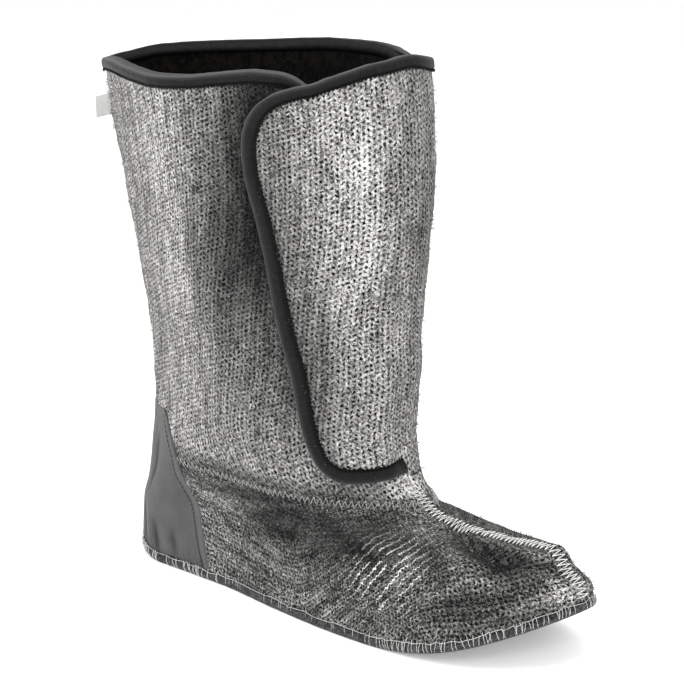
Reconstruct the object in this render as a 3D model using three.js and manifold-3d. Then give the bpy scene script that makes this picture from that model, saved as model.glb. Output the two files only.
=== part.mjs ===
import * as THREE from 'three';
import { mergeVertices } from 'three/addons/utils/BufferGeometryUtils.js';
import Module from 'manifold-3d';

// Felt inner boot for a right foot: a flat felt sole, one hollow felt upper with a wrap flap,
// two folded tapes over its free edges, a heel patch and a bare woven label.
// Millimetres. +X points to the toe, +Y to the wearer's left and +Z up. The origin is on the
// floor under the middle of the heel. The outer side of the foot is at -Y, and carries the flap.
// A level is a height on the upright form, before the toe spring and the tilt of the collar.

// Foot
const footLength = 300;
const heelCentre = 37;
const heelHalfWidth = 37;
const ballOuterWidth = 52;
const ballInnerWidth = 44.5;
const toeOuterWidth = 37;
const toeInnerWidth = 35.5;
const toeCornerLength = 74;
const toeSpring = 27;
const toeSwing = 10;
const archLift = 3;
const seamLevel = 64;

// Shaft, with its front and its overhang measured from the back of the heel
const ankleLevel = 135;
const calfLevel = 220;
const shaftHeight = 288;
const ankleHalfWidth = 47.3;
const collarHalfWidth = 66.8;
const ankleOverhang = 10.3;
const calfOverhang = 31.6;
const collarOverhang = 48.4;
const ankleFront = 187.5;
const calfFront = 193.4;
const collarFront = 186.5;
const rimRise = 1.4;
const rimTilt = 6.6;

// Felt and tape
const soleFelt = 5;
const soleRoll = 1.2;
const feltWall = 6;
const edgeWall = 4.4;
const edgeTaper = 14;
const clearance = 0.4;
const tapeClearance = 0.8;
const tapeThickness = 1;
const tapeDepth = 6.5;
const ridgeHeight = 2.4;
const seamStep = 0.9;
const seamStepRun = 12;

// Flap, measured along the felt from the front of the shaft
const flapTopWidth = 108;
const flapBottomWidth = 48;
const flapBottomLevel = 75;
const flapTopRadius = 45;
const flapBottomRadius = 13;
const flapLiftLow = 6.8;
const flapLiftTop = 1.5;
const liftStart = 4;
const flapRamp = 12;
const tapeEndWidth = 19;

// The edge of the outer panel under the flap
const underlapTopWidth = 58;
const underlapBottomWidth = 22;
const underlapRadius = 18;
const slitLevel = 125;
const windowFront = 2;
const tuckLow = 2.2;
const tuckTop = 9.5;
const tuckRun = 55;
const tuckStart = 10;

// Heel patch and label
const patchHeight = 92;
const patchBottomWidth = 96;
const patchTopWidth = 9;
const patchThickness = 1;
const patchClearance = 0.85;
const hemThickness = 0.7;
const hemWidth = 6;
const labelDrop = 22;
const labelHeight = 14;
const labelWidth = 11;
const labelThickness = 1;

const near = -1;
const far = 1;

const clamp = (value) => THREE.MathUtils.clamp(value, 0, 1);
const mix = THREE.MathUtils.lerp;
const smooth = THREE.MathUtils.smoothstep;

// A curve through the given places that never overshoots them.
function monotoneCurve(places, values) {
  const last = places.length - 1;
  const steps = places.slice(1).map((place, i) => place - places[i]);
  const slopes = steps.map((step, i) => (values[i + 1] - values[i]) / step);
  const tangents = values.map((_, i) => {
    if (i === 0 || i === last) return endSlope(i === 0 ? [0, 1] : [last - 1, last - 2]);
    if (slopes[i - 1] * slopes[i] <= 0) return 0;
    const before = 2 * steps[i] + steps[i - 1];
    const after = steps[i] + 2 * steps[i - 1];
    return (before + after) / (before / slopes[i - 1] + after / slopes[i]);
  });
  function endSlope([first, second]) {
    const h = [steps[first], steps[second]];
    const m = [slopes[first], slopes[second]];
    const slope = ((2 * h[0] + h[1]) * m[0] - h[0] * m[1]) / (h[0] + h[1]);
    if (slope * m[0] <= 0) return 0;
    const tooSteep = m[0] * m[1] < 0 && Math.abs(slope) > Math.abs(3 * m[0]);
    return tooSteep ? 3 * m[0] : slope;
  }
  return (place) => {
    const at = THREE.MathUtils.clamp(place, places[0], places[last]);
    let i = 0;
    while (i < last - 1 && at > places[i + 1]) i += 1;
    const u = (at - places[i]) / steps[i];
    const rise = values[i + 1] - values[i];
    const bow = u * (1 - u);
    return values[i] + rise * u * u * (3 - 2 * u)
      + steps[i] * bow * (tangents[i] * (1 - u) - tangents[i + 1] * u);
  };
}

// Turns a table with named columns into one curve for each column.
function columnCurves(table, key) {
  const places = table.map((row) => row[key]);
  const names = Object.keys(table[0]).filter((name) => name !== key);
  const curves = names.map((name) => monotoneCurve(places, table.map((row) => row[name])));
  return (place) => Object.fromEntries(names.map((name, i) => [name, curves[i](place)]));
}

const betweenSeamAndAnkle = (share) => mix(seamLevel, ankleLevel, share);
const ankleLength = ankleFront + ankleOverhang;
const calfLength = calfFront + calfOverhang;
const collarLength = collarFront + collarOverhang;
const widestShare = 0.57;

// Level sections. back and front are the ends of the section from the back of the heel, half is
// its half width, backRound and frontRound are the lengths of its round ends, and soleShare says
// how far the width follows the sole. backPower and backRoot shape the back, which is round at
// the heel and pinched along the back seam of the shaft.
const sections = [
  { level: 0, back: 2, front: footLength, half: heelHalfWidth,
    backRound: heelHalfWidth, frontRound: toeCornerLength,
    frontPower: 2.2, soleShare: 1, backPower: 2, backRoot: 2 },
  { level: 0.2 * seamLevel, back: 0, front: 0.998 * footLength, half: heelHalfWidth,
    backRound: heelHalfWidth, frontRound: 0.25 * footLength,
    frontPower: 2.1, soleShare: 1, backPower: 2, backRoot: 2 },
  { level: 0.45 * seamLevel, back: 0, front: 0.97 * footLength, half: heelHalfWidth,
    backRound: 1.04 * heelHalfWidth, frontRound: 0.317 * footLength,
    frontPower: 1.9, soleShare: 0.95, backPower: 2, backRoot: 1.9 },
  { level: 0.66 * seamLevel, back: 1, front: 0.946 * footLength, half: heelHalfWidth,
    backRound: 1.25 * heelHalfWidth, frontRound: 0.333 * footLength,
    frontPower: 1.7, soleShare: 0.85, backPower: 2, backRoot: 1.55 },
  { level: 0.94 * seamLevel, back: -0.2 * ankleOverhang, front: 1.122 * ankleFront,
    half: 1.02 * heelHalfWidth, backRound: 1.65 * heelHalfWidth, frontRound: 0.3 * footLength,
    frontPower: 1.6, soleShare: 0.7, backPower: 1.85, backRoot: 1.2 },
  { level: betweenSeamAndAnkle(0.23), back: -0.48 * ankleOverhang, front: 1.018 * ankleFront,
    half: 0.95 * ankleHalfWidth, backRound: 0.46 * ankleLength, frontRound: 0.25 * footLength,
    frontPower: 1.8, soleShare: 0.4, backPower: 1.75, backRoot: 1.08 },
  { level: betweenSeamAndAnkle(0.51), back: -0.55 * ankleOverhang, front: 0.994 * ankleFront,
    half: ankleHalfWidth, backRound: widestShare * ankleLength,
    frontRound: (1 - widestShare) * ankleLength,
    frontPower: 2, soleShare: 0.1, backPower: 1.69, backRoot: 1 },
  { level: ankleLevel, back: -ankleOverhang, front: 1.01 * ankleFront,
    half: ankleHalfWidth, backRound: widestShare * ankleLength,
    frontRound: (1 - widestShare) * ankleLength,
    frontPower: 2, soleShare: 0, backPower: 1.69, backRoot: 1 },
  { level: mix(ankleLevel, calfLevel, 0.2), back: -mix(ankleOverhang, calfOverhang, 0.2),
    front: mix(ankleFront, calfFront, 0.2), half: mix(ankleHalfWidth, collarHalfWidth, 0.1),
    backRound: widestShare * ankleLength, frontRound: (1 - widestShare) * ankleLength,
    frontPower: 2, soleShare: 0, backPower: 1.69, backRoot: 1 },
  { level: calfLevel, back: -calfOverhang, front: calfFront,
    half: mix(ankleHalfWidth, collarHalfWidth, 0.5), backRound: widestShare * calfLength,
    frontRound: (1 - widestShare) * calfLength,
    frontPower: 2, soleShare: 0, backPower: 1.69, backRoot: 1 },
  { level: shaftHeight, back: -collarOverhang, front: collarFront, half: collarHalfWidth,
    backRound: widestShare * collarLength, frontRound: (1 - widestShare) * collarLength,
    frontPower: 2, soleShare: 0, backPower: 1.77, backRoot: 1 },
];
const sectionAt = columnCurves(sections, 'level');

// Distance of the sole's edges from the centre line, at shares of the foot's length.
const soleStations = [
  { share: 0, outer: heelHalfWidth, inner: heelHalfWidth },
  { share: 0.12, outer: heelHalfWidth, inner: heelHalfWidth },
  { share: 0.3, outer: 1.05 * heelHalfWidth, inner: 0.92 * heelHalfWidth },
  { share: 0.45, outer: 1.22 * heelHalfWidth, inner: 0.98 * heelHalfWidth },
  { share: 0.68, outer: ballOuterWidth, inner: ballInnerWidth },
  { share: 0.85, outer: 1.02 * ballOuterWidth, inner: 0.96 * ballInnerWidth },
  { share: 1, outer: toeOuterWidth, inner: toeInnerWidth },
];
const soleAt = columnCurves(soleStations, 'share');

const upperBottom = soleFelt + clearance;
const springStart = 0.68;
const springTopLevel = 120;
const swingStart = 0.5;
const swingFullLevel = 0.44 * ankleLevel;
const swingTopLevel = 1.04 * ankleLevel;
const archStart = 0.28;
const archEnd = 0.56;

function roundEnd(distance, length, power, root) {
  return (1 - (1 - clamp(distance / length)) ** power) ** (1 / root);
}

// Height that the toe spring and the inner arch add at a place along and across the foot.
function floorLift(x, y, level) {
  const share = x / footLength;
  const spring = toeSpring * clamp((share - springStart) / (1 - springStart)) ** 2;
  const along = clamp((share - archStart) / (archEnd - archStart));
  const sole = soleAt(share);
  const across = (y + sole.outer) / (sole.outer + sole.inner);
  const arch = archLift * Math.sin(Math.PI * along) ** 2 * across;
  const fade = (top) => clamp((top - level) / (top - upperBottom));
  return spring * fade(springTopLevel) + arch * fade(seamLevel);
}

// A point of the felt's outer face. t runs from 0 at the back to 1 at the front.
function formPoint(side, t, level) {
  const section = sectionAt(level);
  const length = section.front - section.back;
  const along = (1 - Math.cos(Math.PI * t)) / 2;
  const x = section.back + length * along;
  const sole = soleAt(x / footLength);
  const half = mix(section.half, side === near ? sole.outer : sole.inner, section.soleShare);
  const ends = roundEnd(x - section.back, section.backRound, section.backPower, section.backRoot)
    * roundEnd(section.front - x, section.frontRound, section.frontPower, section.frontPower);
  const y = side * half * ends;
  const swing = toeSwing * clamp((x / footLength - swingStart) / (1 - swingStart)) ** 1.5
    * clamp((swingTopLevel - level) / (swingTopLevel - swingFullLevel));
  const tilt = (level / shaftHeight) ** 4
    * (rimRise * (2 * along - 1) + rimTilt * y / collarHalfWidth);
  return new THREE.Vector3(x - heelCentre, y + swing, level + floorLift(x, y, level) + tilt);
}

function oneSidedNormal(side, t, level) {
  const reach = 0.006;
  const first = Math.max(t - reach, 0);
  const second = Math.min(t + reach, 1);
  const low = Math.max(level - 0.5, 0);
  const high = Math.min(level + 0.5, shaftHeight);
  const inner = THREE.MathUtils.clamp(t, reach, 1 - reach);
  const around = formPoint(side, second, level).sub(formPoint(side, first, level));
  const upward = formPoint(side, inner, high).sub(formPoint(side, inner, low));
  return around.cross(upward).multiplyScalar(-side).normalize();
}

// Outward direction at a point of the form, with a mitre where both sides meet at a seam.
const sharpestMitre = 0.6;
function formNormal(side, t, level) {
  const own = oneSidedNormal(side, t, level);
  if (t > 0 && t < 1) return own;
  const shared = oneSidedNormal(-side, t, level).add(own).normalize();
  return shared.multiplyScalar(1 / Math.max(shared.dot(own), sharpestMitre));
}

const raised = (side, t, level, offset) =>
  formPoint(side, t, level).addScaledVector(formNormal(side, t, level), offset);

// Lengths along the felt from the front of the boot, for one side and level.
const arcSamples = 60;
const arcTables = new Map();
function arcTable(side, level) {
  const key = `${side} ${level}`;
  if (!arcTables.has(key)) {
    const arcs = [0];
    let previous = formPoint(side, 1, level);
    for (let i = 1; i <= arcSamples; i += 1) {
      const point = formPoint(side, 1 - i / arcSamples, level);
      arcs.push(arcs[i - 1] + point.distanceTo(previous));
      previous = point;
    }
    arcTables.set(key, arcs);
  }
  return arcTables.get(key);
}

// Place around the form from a width: positive on the outer side, negative on the inner side.
function placeAt(width, level) {
  const side = width >= 0 ? near : far;
  const arcs = arcTable(side, level);
  const arc = Math.min(Math.abs(width), arcs[arcSamples]);
  let i = 0;
  while (i < arcSamples - 1 && arc > arcs[i + 1]) i += 1;
  const share = (arc - arcs[i]) / (arcs[i + 1] - arcs[i]);
  return { side, t: clamp(1 - (i + share) / arcSamples) };
}

function widthAt(side, t, level) {
  const arcs = arcTable(side, level);
  const place = (1 - t) * arcSamples;
  const i = Math.min(Math.floor(place), arcSamples - 1);
  return -side * mix(arcs[i], arcs[i + 1], place - i);
}

const halfGirth = (side, level) => arcTable(side, level)[arcSamples];

function wrapPoint(width, level, offset) {
  const { side, t } = placeAt(width, level);
  return raised(side, t, level, offset);
}

// A closed solid from rows of closed loops. A ring joins its last row to its first. Otherwise
// the end loops are closed by joining each point to the one opposite to it.
function loft(rows, ring) {
  const count = rows[0].length;
  const positions = rows.flat().flatMap((point) => point.toArray());
  const indices = [];
  const quad = (a, b, c, d) => indices.push(a, b, c, a, c, d);
  const bands = ring ? rows.length : rows.length - 1;
  for (let i = 0; i < bands; i += 1) {
    const row = i * count;
    const next = ((i + 1) % rows.length) * count;
    for (let j = 0; j < count; j += 1) {
      const k = (j + 1) % count;
      quad(row + j, row + k, next + k, next + j);
    }
  }
  if (!ring) {
    const top = (rows.length - 1) * count;
    for (let j = 0; j < count / 2 - 1; j += 1) {
      quad(j, count - 1 - j, count - 2 - j, j + 1);
      quad(top + j, top + j + 1, top + count - 2 - j, top + count - 1 - j);
    }
  }
  const geometry = new THREE.BufferGeometry();
  geometry.setAttribute('position', new THREE.Float32BufferAttribute(positions, 3));
  geometry.setIndex(indices);
  return facingOut(geometry);
}

// Turns every face over if the solid came out inside out.
function facingOut(geometry) {
  const position = geometry.getAttribute('position');
  const index = geometry.getIndex();
  const [a, b, c] = [new THREE.Vector3(), new THREE.Vector3(), new THREE.Vector3()];
  let volume = 0;
  for (let i = 0; i < index.count; i += 3) {
    a.fromBufferAttribute(position, index.getX(i));
    b.fromBufferAttribute(position, index.getX(i + 1));
    c.fromBufferAttribute(position, index.getX(i + 2));
    volume += a.dot(b.cross(c));
  }
  if (volume > 0) return geometry;
  const flipped = [];
  for (let i = 0; i < index.count; i += 3) {
    flipped.push(index.getX(i), index.getX(i + 2), index.getX(i + 1));
  }
  geometry.setIndex(flipped);
  return geometry;
}

const wasm = await Module();
wasm.setup();

function toSolid(geometry) {
  const merged = mergeVertices(geometry, 1e-5);
  return new wasm.Manifold(new wasm.Mesh({
    numProp: 3,
    vertProperties: Float32Array.from(merged.getAttribute('position').array),
    triVerts: Uint32Array.from(merged.getIndex().array),
  }));
}

function toGeometry(solid) {
  const mesh = solid.getMesh();
  const geometry = new THREE.BufferGeometry();
  geometry.setAttribute('position', new THREE.BufferAttribute(mesh.vertProperties, 3));
  geometry.setIndex(new THREE.BufferAttribute(mesh.triVerts, 1));
  return geometry;
}

const range = (count, from, to) =>
  Array.from({ length: count + 1 }, (_, i) => mix(from, to, i / count));

// Sole: a flat felt sole whose rolled edge stands a little outside the upper.
const soleProfile = [
  { level: 0, out: -0.8 },
  { level: 0.16, out: 0.4 },
  { level: 0.5, out: 1 },
  { level: 0.84, out: 0.4 },
  { level: 1, out: -0.8 },
];
const soleColumns = 34;
const bluntEnd = 0.025;

function soleGeometry() {
  const places = range(soleColumns, bluntEnd, 1 - bluntEnd);
  const rim = (side, t, { level, out }) => {
    const height = level * soleFelt;
    const point = formPoint(side, t, height);
    const outward = formNormal(side, t, height).setZ(0).normalize();
    point.addScaledVector(outward, out * soleRoll);
    const lift = floorLift(point.x + heelCentre, point.y, 0);
    return point.setZ(height + lift);
  };
  const rows = soleProfile.map((row) => [
    ...places.map((t) => rim(near, t, row)),
    ...places.toReversed().map((t) => rim(far, t, row)),
  ]);
  return loft(rows, false);
}

// A path through corners given as widths from the shaft's front and levels.
function roundedPath(corners) {
  const path = new THREE.Path();
  corners.forEach(({ width, level, radius }, i) => {
    const corner = new THREE.Vector2(width, level);
    if (i === 0) path.moveTo(corner.x, corner.y);
    else if (!radius) path.lineTo(corner.x, corner.y);
    else {
      const toward = (other) => new THREE.Vector2(other.width, other.level).sub(corner)
        .setLength(radius).add(corner);
      const before = toward(corners[i - 1]);
      const after = toward(corners[i + 1]);
      path.lineTo(before.x, before.y);
      path.quadraticCurveTo(corner.x, corner.y, after.x, after.y);
    }
  });
  return path;
}

// Outlines on the shaft. The outer panel ends at the underlap's edge, and the inner panel runs
// round the front and ends at the flap's edge.
const outlineSteps = 400;
const flapFreeEdge = [
  { width: flapTopWidth, level: shaftHeight, radius: flapTopRadius },
  { width: flapBottomWidth, level: flapBottomLevel, radius: flapBottomRadius },
];
const flapOutline = roundedPath([
  { width: 0, level: shaftHeight }, ...flapFreeEdge, { width: 0, level: flapBottomLevel },
]).getSpacedPoints(outlineSteps);
const underlapTop = { width: underlapTopWidth, level: shaftHeight, radius: underlapRadius };
const underlapBottom = { width: underlapBottomWidth, level: slitLevel };

const underlapOutline = roundedPath([
  { width: halfGirth(near, shaftHeight), level: shaftHeight }, underlapTop, underlapBottom,
]).getSpacedPoints(outlineSteps);
const underlapCorner = underlapTopWidth + underlapRadius;

// The widest place of the flap at a level.
function flapWidth(level) {
  const spans = flapOutline.slice(1).map((point, i) => [flapOutline[i], point]);
  const widths = spans.flatMap(([from, to]) => {
    if ((from.y - level) * (to.y - level) > 0) return [];
    if (from.y === to.y) return [from.x, to.x];
    return [mix(from.x, to.x, (level - from.y) / (to.y - from.y))];
  });
  return Math.max(...widths);
}

function underlapWidth(level) {
  const reached = (point) => point.y <= level && point.x < underlapCorner;
  return underlapOutline.find(reached)?.x ?? underlapBottomWidth;
}

const flapShare = (level) => smooth(level, flapBottomLevel, mix(ankleLevel, calfLevel, 0.75));
const flapLift = (width, level) =>
  mix(flapLiftLow, flapLiftTop, flapShare(level)) * smooth(width, liftStart, liftStart + flapRamp);

// How far the outer panel lies inside the form, to make room for the flap.
function tuck(side, t, level) {
  if (side === far || level < seamLevel) return 0;
  const width = widthAt(side, t, level);
  const up = clamp((level - flapBottomLevel) / (shaftHeight - flapBottomLevel));
  const edge = mix(flapBottomWidth, flapTopWidth, up);
  const across = 1 - smooth(width, edge, edge + tuckRun);
  const upward = smooth(level, seamLevel, flapBottomLevel - 2);
  const front = smooth(width, tuckStart, tuckStart + flapRamp);
  return mix(tuckLow, tuckTop, flapShare(level)) * across * upward * front;
}

const wallNearEdge = (wall, distance) => mix(edgeWall, wall, clamp(distance / edgeTaper));

// Outer offset of the felt: the ridge of the seam from throat to toe, and the step where the
// felt of the shaft lies over the felt of the foot.
const ridgeTopLevel = seamLevel + 12;
const ridgeRun = 8;
function relief(t, level) {
  const ridge = t === 1 && level < ridgeTopLevel
    ? ridgeHeight * smooth(level, upperBottom, upperBottom + ridgeRun) : 0;
  const step = level < seamLevel ? seamStep * clamp(1 - (seamLevel - level) / seamStepRun) : 0;
  return ridge - step;
}

const tubeLevels = [
  ...range(2, upperBottom, 0.45 * seamLevel),
  ...range(4, 0.45 * seamLevel, 0.72 * seamLevel).slice(1),
  ...range(5, 0.72 * seamLevel, seamLevel - 0.7).slice(1),
  ...range(2, seamLevel, flapBottomLevel),
  ...range(4, flapBottomLevel, ankleLevel).slice(1),
  ...range(5, ankleLevel, shaftHeight - edgeTaper).slice(1),
  ...range(2, shaftHeight - edgeTaper, shaftHeight).slice(1),
];
const tubeColumns = 28;
const tubePlaces = range(tubeColumns, 0, 1);

// Distance from a place on the wall to the nearest edge that tape covers.
function edgeDistance(side, t, level) {
  const toCollar = shaftHeight - level;
  if (side === far || level < slitLevel) return toCollar;
  return Math.min(toCollar, Math.abs(widthAt(side, t, level) - underlapWidth(level)));
}

function tubeOuter(side, t, level) {
  return raised(side, t, level, relief(t, level) - tuck(side, t, level));
}

// Inner face of one side: its first and last place are where it meets the other side's.
function innerSide(side, level) {
  const wall = (t) => wallNearEdge(feltWall, edgeDistance(side, t, level));
  const inside = (t) => raised(side, t, level, -wall(t) - tuck(side, t, level));
  const centre = formPoint(side, 0, level).y;
  const middle = formPoint(side, 0.5, level).y;
  const within = (t) => {
    const swing = mix(centre, formPoint(side, 1, level).y, t > 0.5 ? 1 : 0);
    return (inside(t).y - swing) * Math.sign(middle) > 0;
  };
  const meeting = (end) => {
    if (within(mix(end, 0.5, 0.01))) return end;
    let [outside, clear] = [end, 0.5];
    for (let i = 0; i < 24; i += 1) {
      const probe = (outside + clear) / 2;
      if (within(probe)) clear = probe;
      else outside = probe;
    }
    return clear;
  };
  const [first, last] = [meeting(0), meeting(1)];
  return tubePlaces.map((t) => inside(mix(first, last, t)));
}

function tubeGeometry() {
  const aroundLoop = (nearRow, farRow) => [
    ...nearRow,
    ...farRow.slice(1, -1).toReversed(),
  ];
  const outerRows = tubeLevels.map((level) => aroundLoop(
    tubePlaces.map((t) => tubeOuter(near, t, level)),
    tubePlaces.map((t) => tubeOuter(far, t, level)),
  ));
  const innerRows = tubeLevels.map((level) => {
    const [nearRow, farRow] = [innerSide(near, level), innerSide(far, level)];
    [0, tubeColumns].forEach((i) => nearRow[i].lerp(farRow[i], 0.5));
    return aroundLoop(nearRow, farRow);
  });
  innerRows[0].forEach((point) => {
    point.z = tubeLevels[0] + floorLift(point.x + heelCentre, point.y, tubeLevels[0]);
  });
  return loft([...outerRows, ...innerRows.toReversed()], true);
}

// Flap: the inner panel's felt, which leaves the wall at the front of the shaft. Its root lies
// inside that wall.
const flapColumns = 10;
const flapRows = 18;
const flapSpread = 0.8;
const flapRoot = -12;
const rootDepth = 0.6;
const rootEnd = -2;
const wallStart = 4;

function flapGeometry() {
  const levels = range(flapRows, 0, Math.PI).map((angle) =>
    mix(flapBottomLevel, shaftHeight, (1 - Math.cos(angle)) / 2));
  const rows = levels.map((level) => {
    const edge = flapWidth(level);
    const widths = range(flapColumns, 0, 1).map((share) =>
      mix(flapRoot, edge, share ** flapSpread));
    const toEnds = Math.min(shaftHeight - level, level - flapBottomLevel);
    const faces = widths.map((width) => {
      const free = smooth(width, rootEnd, wallStart);
      const top = flapLift(width, level) - rootDepth * (1 - free);
      const wall = wallNearEdge(feltWall, Math.max(Math.min(edge - width, toEnds), 0));
      const thickness = mix(edgeWall - 2 * rootDepth, wall, free);
      return [wrapPoint(width, level, top), wrapPoint(width, level, top - thickness)];
    });
    return [...faces.map(([outer]) => outer), ...faces.map(([, inner]) => inner).toReversed()];
  });
  return loft(rows, false);
}

// The window that the flap covers, between the underlap's edge and the front of the shaft.
const windowColumns = 7;
const cutProud = feltWall;
const cutDepth = 4 * feltWall;
const cutRise = 2 * feltWall;
function windowGeometry() {
  const cornerLevel = shaftHeight - underlapRadius;
  const levels = [...range(10, slitLevel, cornerLevel),
    ...range(5, cornerLevel, shaftHeight - 0.02).slice(1)];
  const rows = levels.map((level) => {
    const widths = range(windowColumns, windowFront, underlapWidth(level));
    const outer = widths.map((width) => wrapPoint(width, level, cutProud));
    const inner = widths.map((width) => wrapPoint(width, level, -cutDepth));
    return [...outer, ...inner.toReversed()];
  });
  const above = rows.at(-1).map((point) => point.clone().setZ(point.z + cutRise));
  return loft([...rows, above], false);
}

// Tape: a folded strip over a free edge. Its section goes round the edge of the felt, from the
// end of the outer leg to the end of the inner leg. depth is measured from the edge inward.
function tapeGeometry(stations, panelOffset) {
  const shell = tapeClearance + tapeThickness;
  const rows = stations.map(({ width, level, inward, sideways }) => {
    const at = (depth, offset) => {
      const place = new THREE.Vector2(width, level).addScaledVector(inward, Math.max(depth, 0));
      const height = Math.min(place.y, shaftHeight);
      const lift = panelOffset(place.x, height);
      const point = wrapPoint(place.x, height, lift + offset);
      if (depth >= 0) return point;
      const within = new THREE.Vector2(width, level).addScaledVector(inward, 2);
      const low = Math.min(within.y, shaftHeight);
      const from = wrapPoint(within.x, low, panelOffset(within.x, low) + offset);
      return point.add(point.clone().sub(from).setLength(-depth));
    };
    const inside = (depth) => -wallNearEdge(feltWall, Math.max(depth, 0));
    const outer = [
      at(tapeDepth, shell), at(-0.3 * shell, shell),
      at(-1.25 * shell, inside(0) / 2),
      at(-0.3 * shell, inside(0) - shell), at(tapeDepth, inside(tapeDepth) - shell),
    ];
    const inner = [
      at(tapeDepth, tapeClearance), at(-tapeClearance, tapeClearance),
      at(-tapeClearance, inside(0) / 2),
      at(-tapeClearance, inside(0) - tapeClearance),
      at(tapeDepth, inside(tapeDepth) - tapeClearance),
    ];
    [...outer, ...inner].forEach((point) => point.setY(point.y + sideways));
    return [...outer, ...inner.toReversed()];
  });
  return loft(rows, false);
}

// Stations along an outline from the back seam, each with the direction into the felt. The
// first step is long enough for the mitre at the seam, where both tapes end face to face.
const tapeSpacing = 8.5;
const mitreStep = 16;
function stationsAlong(path, side) {
  const length = path.getLength();
  const count = Math.round((length - mitreStep) / tapeSpacing);
  return [0, ...range(count, mitreStep / length, 1)].map((share) => {
    const point = path.getPointAt(share);
    const tangent = path.getTangentAt(share);
    const inward = new THREE.Vector2(tangent.y * side, -tangent.x * side);
    const sideways = share === 0 ? side * clearance / 2 : 0;
    return { width: point.x, level: point.y, inward, sideways };
  });
}

function flapBindingGeometry() {
  const path = roundedPath([
    { width: -halfGirth(far, shaftHeight), level: shaftHeight },
    ...flapFreeEdge,
    { width: tapeEndWidth, level: flapBottomLevel },
  ]);
  return tapeGeometry(stationsAlong(path, far), flapLift);
}

function collarBindingGeometry() {
  const path = roundedPath([
    { width: halfGirth(near, shaftHeight), level: shaftHeight },
    underlapTop,
    { width: underlapBottomWidth, level: slitLevel + 2 * tapeDepth },
  ]);
  const panelOffset = (width, level) => {
    const { side, t } = placeAt(width, level);
    return -tuck(side, t, level);
  };
  return tapeGeometry(stationsAlong(path, near), panelOffset);
}

// Heel patch: cloth round the back of the heel, with a turned hem along both sides.
const patchOutline = [
  { share: 0, width: 1 },
  { share: 0.25, width: 0.93 },
  { share: 0.44, width: 0.82 },
  { share: 0.58, width: 0.66 },
  { share: 0.72, width: 0.48 },
  { share: 0.86, width: 0.28 },
  { share: 1, width: patchTopWidth / patchBottomWidth },
];
const patchAt = columnCurves(patchOutline, 'share');
const patchColumns = 8;

function heelPatchGeometry() {
  const bottom = upperBottom + clearance;
  const levels = [bottom, ...tubeLevels.filter((level) =>
    level > bottom + 1 && level < patchHeight - 3), patchHeight];
  const rows = levels.map((level) => {
    const half = patchAt((level - bottom) / (patchHeight - bottom)).width * patchBottomWidth;
    const placeFromBack = (side, distance) =>
      placeAt(-side * (halfGirth(side, level) - distance), level).t;
    const hem = Math.min(hemWidth, half / 2);
    const line = (extra) => {
      const oneSide = (side) => {
        const distances = [half, ...range(patchColumns, half - hem, 0)];
        const places = distances.map((distance) => placeFromBack(side, distance));
        return places.map((t, i) => raised(side, t, level, relief(t, level) + patchClearance
          + extra * (patchThickness + (i < 2 ? hemThickness : 0))));
      };
      return [...oneSide(near), ...oneSide(far).slice(0, -1).toReversed()];
    };
    return [...line(1), ...line(0).toReversed()];
  });
  return loft(rows, false);
}

// Label: a folded tab of ribbon, sewn into the back seam below the collar.
const labelOut = new THREE.Vector3(-1, -0.12, -0.16).normalize();
const labelAcross = new THREE.Vector3(0.12, -1, 0).normalize();
function labelGeometry() {
  const profile = [
    { out: 0, half: 0.5 },
    { out: 0.6, half: 0.5 },
    { out: 1, half: 0.3 },
  ];
  const rows = range(4, 0, 1).map((share) => {
    const level = shaftHeight - labelDrop - labelHeight * (1 - share);
    const root = raised(near, 0, level, clearance);
    const edge = (face) => profile.map(({ out, half }) => root.clone()
      .addScaledVector(labelOut, out * labelWidth)
      .addScaledVector(labelAcross, face * half * labelThickness));
    return [...edge(1), ...edge(-1).toReversed()];
  });
  return loft(rows, false);
}

function upperGeometry() {
  const tube = toSolid(tubeGeometry());
  const opened = tube.subtract(toSolid(windowGeometry()));
  return toGeometry(opened.add(toSolid(flapGeometry())));
}

const greyFelt = new THREE.MeshStandardMaterial({ color: 0x8f8f8c, roughness: 0.95 });
const soleFeltLook = new THREE.MeshStandardMaterial({ color: 0x4a4a4a, roughness: 0.97 });
const blackTape = new THREE.MeshStandardMaterial({ color: 0x1c1c1e, roughness: 0.7 });
const heelTwill = new THREE.MeshStandardMaterial({ color: 0x5b5c5e, roughness: 0.8 });
const whiteRibbon = new THREE.MeshStandardMaterial({ color: 0xdcdcda, roughness: 0.75 });

function piece(name, geometry, material) {
  const mesh = new THREE.Mesh(geometry, material);
  mesh.name = name;
  return mesh;
}

const boot = new THREE.Group();
boot.add(piece('sole', soleGeometry(), soleFeltLook));
boot.add(piece('upper', upperGeometry(), greyFelt));
boot.add(piece('flap_binding', flapBindingGeometry(), blackTape));
boot.add(piece('collar_binding', collarBindingGeometry(), blackTape));
boot.add(piece('heel_patch', heelPatchGeometry(), heelTwill));
boot.add(piece('label', labelGeometry(), whiteRibbon));

export default boot;
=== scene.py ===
import math

import bpy
import numpy as np
from mathutils import Matrix, Vector


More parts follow.
